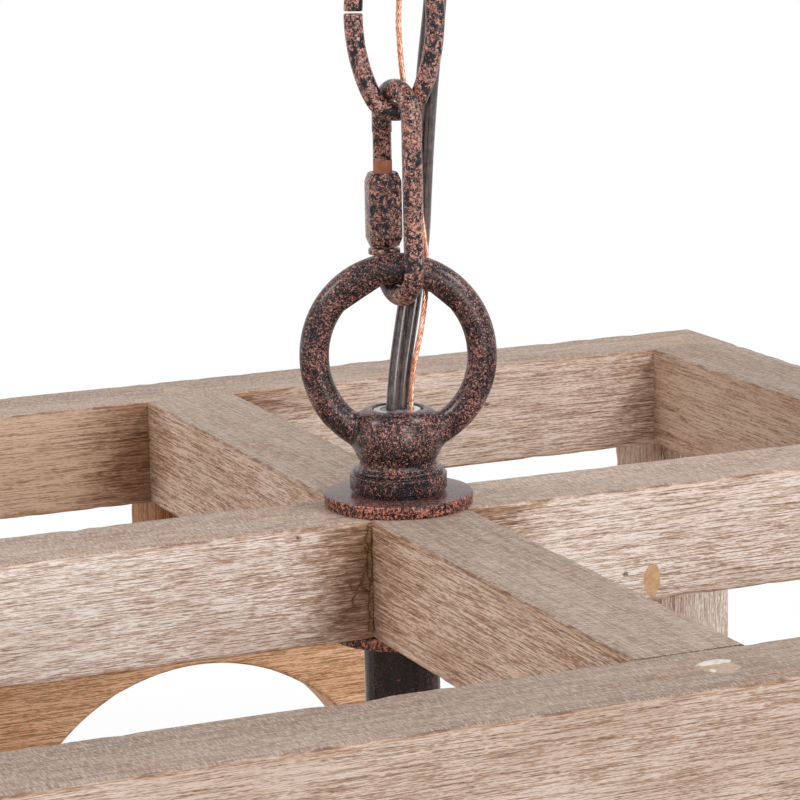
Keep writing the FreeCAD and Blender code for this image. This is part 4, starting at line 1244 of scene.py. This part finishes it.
# %% Quick link rod
quick_wire_r, quick_thread_r = 2.1 * MM, 1.95 * MM
quick_half = math.hypot(3.05, 5.9) * MM
quick_turn = math.degrees(math.atan2(-5.9, 3.05))
quick_low, quick_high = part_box("quick_link_rod")
nut_low, nut_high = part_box("quick_link_nut")
quick_bottom_bend = quick_low.z + quick_wire_r + quick_half
quick_top_bend = quick_high.z - quick_wire_r - quick_half
collar_top = nut_low.z - 0.4 * MM
collar_low = collar_top - 1.3 * MM
thread_end = nut_high.z + 8.4 * MM


def extrude_on(shape, ends, move, scale=1.0):
    """Extrude an open ring of edges by a move, and widen or narrow it."""
    edges = [g for g in ends if isinstance(g, bmesh.types.BMEdge)]
    grown = bmesh.ops.extrude_edge_only(shape, edges=edges)["geom"]
    verts = [g for g in grown if isinstance(g, bmesh.types.BMVert)]
    bmesh.ops.translate(shape, verts=verts, vec=move)
    if scale != 1.0:
        middle = sum((v.co for v in verts), Vector()) / len(verts)
        bmesh.ops.scale(shape, verts=verts, vec=(scale, scale, scale),
                        space=Matrix.Translation(-middle))
    chosen = set(verts)
    return verts + [g for g in grown if isinstance(g, bmesh.types.BMEdge) and set(g.verts) <= chosen]


def quick_rod():
    part = bmesh.new()
    bmesh.ops.create_circle(part, radius=quick_thread_r, segments=28, cap_ends=False,
                            matrix=Matrix.Translation((-quick_half, 0, nut_low.z + 5 * MM)))
    ends = part.verts[:] + part.edges[:]
    bmesh.ops.holes_fill(part, edges=part.edges[:], sides=0)
    ends = extrude_on(part, ends, (0, 0, collar_low - nut_low.z - 5 * MM))
    ends = extrude_on(part, ends, (0, 0, -0.01 * MM), quick_wire_r / quick_thread_r)
    straight = (collar_low - quick_bottom_bend) / 4
    for _ in range(4):
        ends = extrude_on(part, ends, (0, 0, -straight))
    ends = spin_on(part, ends, (0, 0, quick_bottom_bend), -math.pi, 40)
    rise = (quick_top_bend - quick_bottom_bend) / 24
    for _ in range(24):
        ends = extrude_on(part, ends, (0, 0, rise))
    ends = spin_on(part, ends, (0, 0, quick_top_bend), -math.pi, 40)
    rest = thread_end - quick_top_bend
    if rest < 0:
        ends = extrude_on(part, ends, (0, 0, rest))
        ends = extrude_on(part, ends, (0, 0, -0.15 * MM), quick_thread_r / quick_wire_r)
    ends = extrude_on(part, ends, (0, 0, nut_high.z - 5 * MM - min(thread_end, quick_top_bend)))
    bmesh.ops.holes_fill(part, edges=[g for g in ends if isinstance(g, bmesh.types.BMEdge)], sides=0)
    bmesh.ops.recalc_face_normals(part, faces=part.faces)
    spun(part, [(quick_thread_r, collar_low), (3.4 * MM, collar_low), (3.4 * MM, collar_top),
                (quick_thread_r, collar_top)], (-quick_half, 0, 0), 48, round_by=0.35 * MM)
    return part


quick_place = HUNG @ Matrix.Rotation(math.radians(quick_turn), 4, "Z")
part = quick_rod()
bmesh.ops.transform(part, matrix=quick_place, verts=part.verts)
dent(part, 0.08 * MM, 0.4, 8)
finished("quick_link_rod_bent", part, CHAIN, "quick_link", ("quick_link_rod",), 50)

shape = bmesh.new()
thread_skin, thread_low, thread_high = 0.04 * MM, nut_high.z - 0.5 * MM, nut_high.z + 2.6 * MM
spun(shape, [(quick_thread_r - 0.3 * MM, thread_low), (quick_thread_r + thread_skin, thread_low),
             (quick_thread_r + thread_skin, thread_high), (quick_thread_r - 0.3 * MM, thread_high)],
     (-quick_half, 0, 0), 36)
bmesh.ops.transform(shape, matrix=quick_place, verts=shape.verts)
finished("quick_link_bare_thread", shape, BARE_THREAD, "quick_link")

# %% Sleeve nut
nut_across, nut_turn, nut_bore_r = 7.0 * MM, 19.2, 2.03 * MM
nut_chamfer, nut_chamfer_rise = 0.8 * MM, 1.8 * MM


def sleeve_nut():
    part = bmesh.new()
    length = nut_high.z - nut_low.z
    corner_r = nut_across / math.sqrt(3)
    bmesh.ops.create_circle(part, radius=corner_r - nut_chamfer, segments=6, cap_ends=False,
                            matrix=Matrix.Translation((0, 0, nut_low.z)))
    bmesh.ops.rotate(part, verts=part.verts, cent=(0, 0, 0), matrix=Matrix.Rotation(math.pi / 6, 3, "Z"))
    ends = part.verts[:] + part.edges[:]
    wide = corner_r / (corner_r - nut_chamfer)
    ends = extrude_on(part, ends, (0, 0, nut_chamfer_rise), wide)
    for _ in range(8):
        ends = extrude_on(part, ends, (0, 0, (length - 2 * nut_chamfer_rise) / 8))
    ends = extrude_on(part, ends, (0, 0, nut_chamfer_rise), 1 / wide)
    rims = [[e for e in part.edges if e.is_boundary and abs(e.verts[0].co.z - z) < 1e-5]
            for z in (nut_low.z, nut_high.z)]
    for rim in rims:
        ends = extrude_on(part, [v for e in rim for v in e.verts] + rim, (0, 0, 0), 0.86)
    bmesh.ops.bevel(part, geom=[e for e in part.edges if e.calc_face_angle(0) > math.radians(15)],
                    offset=0.24 * MM, segments=3, profile=0.5, affect="EDGES", material=-1)
    spun(part, [(nut_bore_r, nut_low.z + 0.1 * MM), (nut_bore_r + 1.0 * MM, nut_low.z + 0.02 * MM),
                (nut_bore_r + 1.0 * MM, nut_high.z - 0.02 * MM), (nut_bore_r, nut_high.z - 0.1 * MM)], steps=36)
    bmesh.ops.rotate(part, verts=part.verts, cent=(0, 0, 0),
                     matrix=Matrix.Rotation(math.radians(nut_turn) - math.pi / 6, 3, "Z"))
    bmesh.ops.translate(part, verts=part.verts, vec=(-quick_half, 0, 0))
    return part


part = sleeve_nut()
bmesh.ops.transform(part, matrix=quick_place, verts=part.verts)
finished("quick_link_nut_sleeve", part, CHAIN, "link_nut", ("quick_link_nut",), 35)

# %% [markdown]
# Several pieces already have their right shape in the frame. A copy of such a node's mesh is
# merged, shaded smooth and dressed. The copy replaces the node, whose own mesh stays untouched.

# %% Pieces whose shape comes from the frame
DRESSED = (("stem_tube", SHEET_METAL, "rusted_sheet"), ("cluster_cup", SHEET_METAL, "rusted_sheet"),
           ("cup_cover", SHEET_METAL, "rusted_sheet"), ("finial", SHEET_METAL, "rusted_sheet"),
           ("light_arms", SHEET_METAL, "rusted_sheet"), ("drip_cups", SHEET_METAL, "rusted_sheet"),
           ("canopy", SHEET_METAL, "rusted_sheet"), ("candle_sleeves", CANDLE, "candle_plastic"),
           ("lamp_sockets", SOCKET, "socket_plastic"), ("lamp_caps", BRASS, "lamp_brass"),
           ("cross_nipple", STEEL, "plain_steel"), ("canopy_nipple", STEEL, "plain_steel"),
           ("cup_nipple", STEEL, "plain_steel"), ("stem_bushings", STEEL, "plain_steel"),
           ("ceiling_strap", STEEL, "plain_steel"), ("strap_lock_nut", STEEL, "plain_steel"),
           ("ground_screw", GREEN_SCREW, "green_screw"), ("frame_screws", STEEL, "plain_steel"),
           ("cross_rail_dowels", DOWEL_WOOD, "plain_wood"), ("stem_cord", INSULATION, "cord_insulation"))
body_of_node = {n: body for body, members in frame["record"]["behaviour"]["bodies"].items() for n in members}


def dressed(node, material):
    part = bmesh.new()
    part.from_mesh(nodes[node].data)
    bmesh.ops.remove_doubles(part, verts=part.verts, dist=1e-6)
    return finished(node + "_dressed", part, material, body_of_node[node], (node,), 35)


for node, material, slot in DRESSED:
    dressed(node, material)

# %% [markdown]
# A candle lamp is a thin blown glass with a filament on two wires. The node is a closed solid of
# its outer shape, so the glass here is the same profile as a shell.

# %% Lamps
lamp_low, lamp_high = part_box("lamp_glasses")
lamp_foot, lamp_tip = lamp_low.z, lamp_high.z
light_circle_r = 44.0 * MM
LIGHTS = [Matrix.Rotation(math.radians(45 + 90 * i), 4, "Z") @ Vector((light_circle_r, 0, 0)) for i in range(4)]
GLASS_PROFILE = [(6.2, 0.1), (7.0, 1.0), (7.0, 2.0), (13.5, 13.0, 15.95, 26.0), (10.6, 52.0, 1.2, 75.5), (0.0, 75.95)]


def lamp_glass(shape, place):
    outer = [tuple(c * MM for c in entry) for entry in GLASS_PROFILE]
    spun(shape, outer, (place.x, place.y, lamp_foot), 48, closed=False)


shape = bmesh.new()
for place in LIGHTS:
    lamp_glass(shape, place)
bmesh.ops.recalc_face_normals(shape, faces=shape.faces)
glasses = finished("lamp_glasses_blown", shape, GLASS, "lantern", ("lamp_glasses",), 60)
wall = glasses.modifiers.new("wall", "SOLIDIFY")
wall.thickness = 0.5 * MM
wall.offset = -1.0

shape = bmesh.new()
for place in LIGHTS:
    for side in (-1, 1):
        post = [(0.0, 0.0), (0.35, 0.0), (0.35, 34.0), (0.0, 34.2)]
        spun(shape, millimetres(*post), (place.x + side * 3.2 * MM, place.y, lamp_foot), 12, closed=False)
    spun(shape, millimetres((0.0, 0.0), (3.4, 0.0), (2.6, 10.0), (1.6, 14.0), (0.0, 14.5)),
         (place.x, place.y, lamp_foot), 24, closed=False)
    coil = []
    for i in range(121):
        share = i / 120
        angle = share * 2 * math.pi * 10
        coil.append(Vector((place.x + (share - 0.5) * 6.4 * MM,
                            place.y + 0.6 * MM * math.cos(angle),
                            lamp_foot + 34 * MM + 0.6 * MM * math.sin(angle))))
    sweep(shape, round_section(0.12 * MM, 6), [(p, Y_AXIS, Z_AXIS) for p in coil])
bmesh.ops.recalc_face_normals(shape, faces=shape.faces)
finished("lamp_filaments", shape, FILAMENT, "lantern", smooth_deg=60)

# %% [markdown]
# The leads are set in the hub's mouth with a pale, crumbly compound. It is a disc with a few rings
# of vertices, which noise lifts and sinks.

# %% Compound in the hub's mouth
def mouth_compound():
    f = Finish("mouth_compound", Specular_IOR_Level=0.6)
    place = f.place()
    lumps = f.noise(place, 1.3, 4.0, 0.7, 0.8)
    colour = f.mix(f.step(lumps, 0.44, 0.58), (0.29, 0.26, 0.24), (0.80, 0.79, 0.76))
    return f.wear(Base_Color=colour, Roughness=f.step(lumps, 0.3, 0.7, 0.5, 0.25),
                  Normal=f.bump(lumps, 0.0003, 0.6))


shape = bmesh.new()
bmesh.ops.create_circle(shape, radius=5.1 * MM, segments=48, cap_ends=True)
rim = list(shape.faces)
for thickness in (0.5, 0.7, 1.0, 1.0, 0.8):
    bmesh.ops.inset_region(shape, faces=rim, thickness=thickness * MM, use_even_offset=True)
for vert in shape.verts:
    away = vert.co.length / (5.1 * MM)
    lift = 0.35 * noise.noise(vert.co / MM * 0.8) + 0.25 * noise.noise(vert.co / MM * 2.1)
    vert.co.z = (17.35 - 0.5 * (1 - away) + lift * (1 - away ** 6)) * MM
low_rim = [e for e in shape.edges if e.is_boundary]
grown = bmesh.ops.extrude_edge_only(shape, edges=low_rim)["geom"]
bmesh.ops.translate(shape, verts=[g for g in grown if isinstance(g, bmesh.types.BMVert)], vec=(0, 0, -0.8 * MM))
bmesh.ops.holes_fill(shape, edges=[e for e in shape.edges if e.is_boundary], sides=0)
bmesh.ops.recalc_face_normals(shape, faces=shape.faces)
bmesh.ops.transform(shape, matrix=Matrix.Translation((0, 0, casting_low)) @ TURNED, verts=shape.verts)
finished("mouth_compound", shape, mouth_compound(), "lantern", smooth_deg=50)

# %% [markdown]
# Small spots finish the wood: round filler over the screws, which stands a little proud and is
# paler than the wood, a patch of amber putty on the right arm, and the glue that was squeezed out
# of the joint beside the washer.

# %% Filler, putty and glue
def spot(shape, middle, radius, rise, seed, up=Z_AXIS, flat=1.0):
    """A low, irregular dome on a surface."""
    part = bmesh.new()
    bmesh.ops.create_uvsphere(part, u_segments=28, v_segments=14, radius=1.0)
    bmesh.ops.delete(part, geom=[v for v in part.verts if v.co.z < -0.35], context="VERTS")
    turn = Z_AXIS.rotation_difference(up).to_matrix()
    for vert in part.verts:
        angle = math.atan2(vert.co.y, vert.co.x)
        wobble = 1 + 0.16 * noise.noise(Vector((math.cos(angle), math.sin(angle), seed * 1.7)) * 1.4)
        vert.co = Vector((vert.co.x * radius * wobble, vert.co.y * radius * wobble * flat, vert.co.z * rise))
    bmesh.ops.transform(part, matrix=Matrix.Translation(middle) @ turn.to_4x4(), verts=part.verts)
    mesh = bpy.data.meshes.new("spot")
    part.to_mesh(mesh)
    part.free()
    shape.from_mesh(mesh)
    bpy.data.meshes.remove(mesh)


spot_places = [(x * rail_middle, y * rail_middle) for x in (-1, 0, 1) for y in (-1, 0, 1) if x or y]
shape = bmesh.new()
for i, (x, y) in enumerate(spot_places):
    spot(shape, (x, y, rail_top - 0.12 * MM), 3.5 * MM, 0.16 * MM, i)
    spot(shape, (x, y, cage_bottom + 0.17 * MM), 3.5 * MM, 0.16 * MM, i + 20, -Z_AXIS)
finished("putty_plugs_smeared", shape, FILLER, "lantern", ("putty_plugs",), 60)


# %% [markdown]
# The amber putty on the right arm fills a knot that reaches the lower edge. The glue that was
# squeezed out of the joint beside the hub dried as a long uneven bead, with a smear on the arm. A
# drop of white filler stayed on the front rail, over its middle screw.

# %% Putty patch, glue bead and white filler
def glue_finish():
    f = Finish("dried_glue", Transmission_Weight=0.35, IOR=1.47, Specular_IOR_Level=0.6)
    cloud = f.noise(f.place(), 0.8, 3.0, 0.6)
    colour = f.mix(f.step(cloud, 0.4, 0.65), (0.60, 0.42, 0.24), (0.42, 0.28, 0.16))
    return f.wear(Base_Color=colour, Roughness=f.step(cloud, 0.3, 0.7, 0.2, 0.4),
                  Normal=f.bump(cloud, 0.0003, 0.5))


face_y, face_x = -rail_width / 2, -rail_width / 2
FORWARD = Vector((0, -1, 0))
shape = bmesh.new()
spot(shape, (53.9 * MM, face_y + 0.05 * MM, rail_top - 20.6 * MM), 2.0 * MM, 0.10 * MM, 41, FORWARD, 1.85)
finished("putty_patch", shape, PUTTY, "lantern", smooth_deg=60)

shape = bmesh.new()
spot(shape, (0.2 * MM, -136.0 * MM, rail_top - 0.10 * MM), 3.6 * MM, 0.55 * MM, 52, flat=0.32)
spot(shape, (-2.3 * MM, -140.2 * MM, rail_top - 0.10 * MM), 0.75 * MM, 0.35 * MM, 53)
finished("white_filler_drop", shape, PAINT_BLOB, "lantern", smooth_deg=60)

glue_face = face_y - 0.05 * MM


def bead_line(shape, points, thin, thick, seed):
    """A lumpy bead of glue along points, each an (x, z) on the left arm's face."""
    count = 9
    for (x, z), (next_x, next_z) in zip(points, points[1:]):
        for i in range(count):
            share = i / count
            place = Vector((x + (next_x - x) * share, 0, z + (next_z - z) * share))
            lump = 0.5 + noise.noise(Vector((place.x * 0.7, seed, place.z * 0.45)))
            sway = 0.35 * noise.noise(Vector((place.z * 0.5, seed, 2.0)))
            radius = (thin + (thick - thin) * min(1.0, max(0.0, lump))) * MM
            middle = Vector(((place.x + sway) * MM, glue_face, rail_top + place.z * MM))
            bmesh.ops.create_icosphere(shape, subdivisions=2, radius=radius, matrix=Matrix.Translation(middle))


shape = bmesh.new()
bead_line(shape, [(-11.5, -1.2), (-11.6, -8.0), (-11.4, -16.0), (-11.5, -23.8)], 0.28, 0.95, 1.3)
bead_line(shape, [(-12.6, -5.4), (-12.2, -8.2), (-12.9, -11.0), (-14.2, -14.2), (-15.8, -16.4), (-15.4, -19.0)],
          0.16, 0.34, 4.1)
bead_line(shape, [(-16.6, -12.0), (-15.6, -14.3)], 0.16, 0.30, 6.6)
bead_line(shape, [(-14.2, -14.2), (-12.4, -15.2)], 0.3, 0.55, 8.2)
finished("glue_bead", shape, glue_finish(), "lantern", smooth_deg=70)

# %% [markdown]
# The light is plain and soft: a pale world, a lamp high on the left, one high on the right, which
# draw the two soft highlights on the hub, and a large one in front. The background is white for the camera only, and the floor fades out around the
# lantern, so it keeps the shadow without drawing a horizon.

# %% World, lamps and floor
WORLD_STRENGTH = 0.50


def world():
    made = bpy.data.worlds.new("studio")
    scene.world = made
    made.use_nodes = True
    tree = made.node_tree
    tree.nodes.clear()
    path = tree.nodes.new("ShaderNodeLightPath")
    seen = tree.nodes.new("ShaderNodeMath")
    seen.operation = "ADD"
    seen.use_clamp = True
    tree.links.new(path.outputs["Is Camera Ray"], seen.inputs[0])
    mirror = tree.nodes.new("ShaderNodeMath")
    mirror.operation = "ADD"
    tree.links.new(path.outputs["Is Glossy Ray"], mirror.inputs[0])
    tree.links.new(path.outputs["Is Transmission Ray"], mirror.inputs[1])
    tree.links.new(mirror.outputs[0], seen.inputs[1])
    ambient = tree.nodes.new("ShaderNodeBackground")
    ambient.inputs["Color"].default_value = (1.0, 0.985, 0.97, 1.0)
    ambient.inputs["Strength"].default_value = WORLD_STRENGTH
    white = tree.nodes.new("ShaderNodeBackground")
    white.inputs["Color"].default_value = (1, 1, 1, 1)
    white.inputs["Strength"].default_value = 1.0
    choose = tree.nodes.new("ShaderNodeMixShader")
    tree.links.new(seen.outputs[0], choose.inputs[0])
    tree.links.new(ambient.outputs[0], choose.inputs[1])
    tree.links.new(white.outputs[0], choose.inputs[2])
    out = tree.nodes.new("ShaderNodeOutputWorld")
    tree.links.new(choose.outputs[0], out.inputs["Surface"])


def lamp(name, direction, away, size, power, tint=(1, 1, 1)):
    """A square lamp that stands away from the cross in a direction, and looks at it."""
    data = bpy.data.lights.new(name, "AREA")
    data.shape = "SQUARE"
    data.size = size
    data.energy = power
    data.color = tint
    made = bpy.data.objects.new(name, data)
    out = Vector(direction).normalized()
    made.location = Vector((0, 0, rail_top)) + out * away
    made.rotation_euler = (-out).to_track_quat("-Z", "Y").to_euler()
    scene.collection.objects.link(made)


def floor():
    shape = bmesh.new()
    bmesh.ops.create_circle(shape, cap_ends=True, radius=1.6, segments=96,
                            matrix=Matrix.Translation((0, 0, cage_bottom - 0.22)))
    f = Finish("pale_floor", Roughness=0.8)
    place = f.stretch(f.node("TexCoord").outputs["Object"], (1, 1, 0))
    away = f.node("VectorMath", [(0, place)], operation="LENGTH").outputs["Value"]
    tone = f.mix(f.noise(f.place(), 0.01, 2.0), (0.955, 0.95, 0.945), (0.935, 0.93, 0.925))
    fade = f.step(away, 0.45, 1.5, 1.0, 0.0)
    made = finished("floor", shape, f.wear(Base_Color=tone, Alpha=fade))


world()
lamp("left_softbox", (-0.80, 0.14, 0.58), 2.2, 0.50, 15, (1.0, 0.975, 0.95))
lamp("right_softbox", (0.535, -0.476, 0.70), 2.2, 0.50, 19)
lamp("front_softbox", (0.05, -0.97, 0.22), 2.4, 1.1, 20)
floor()
scene.view_settings.view_transform = "Standard"
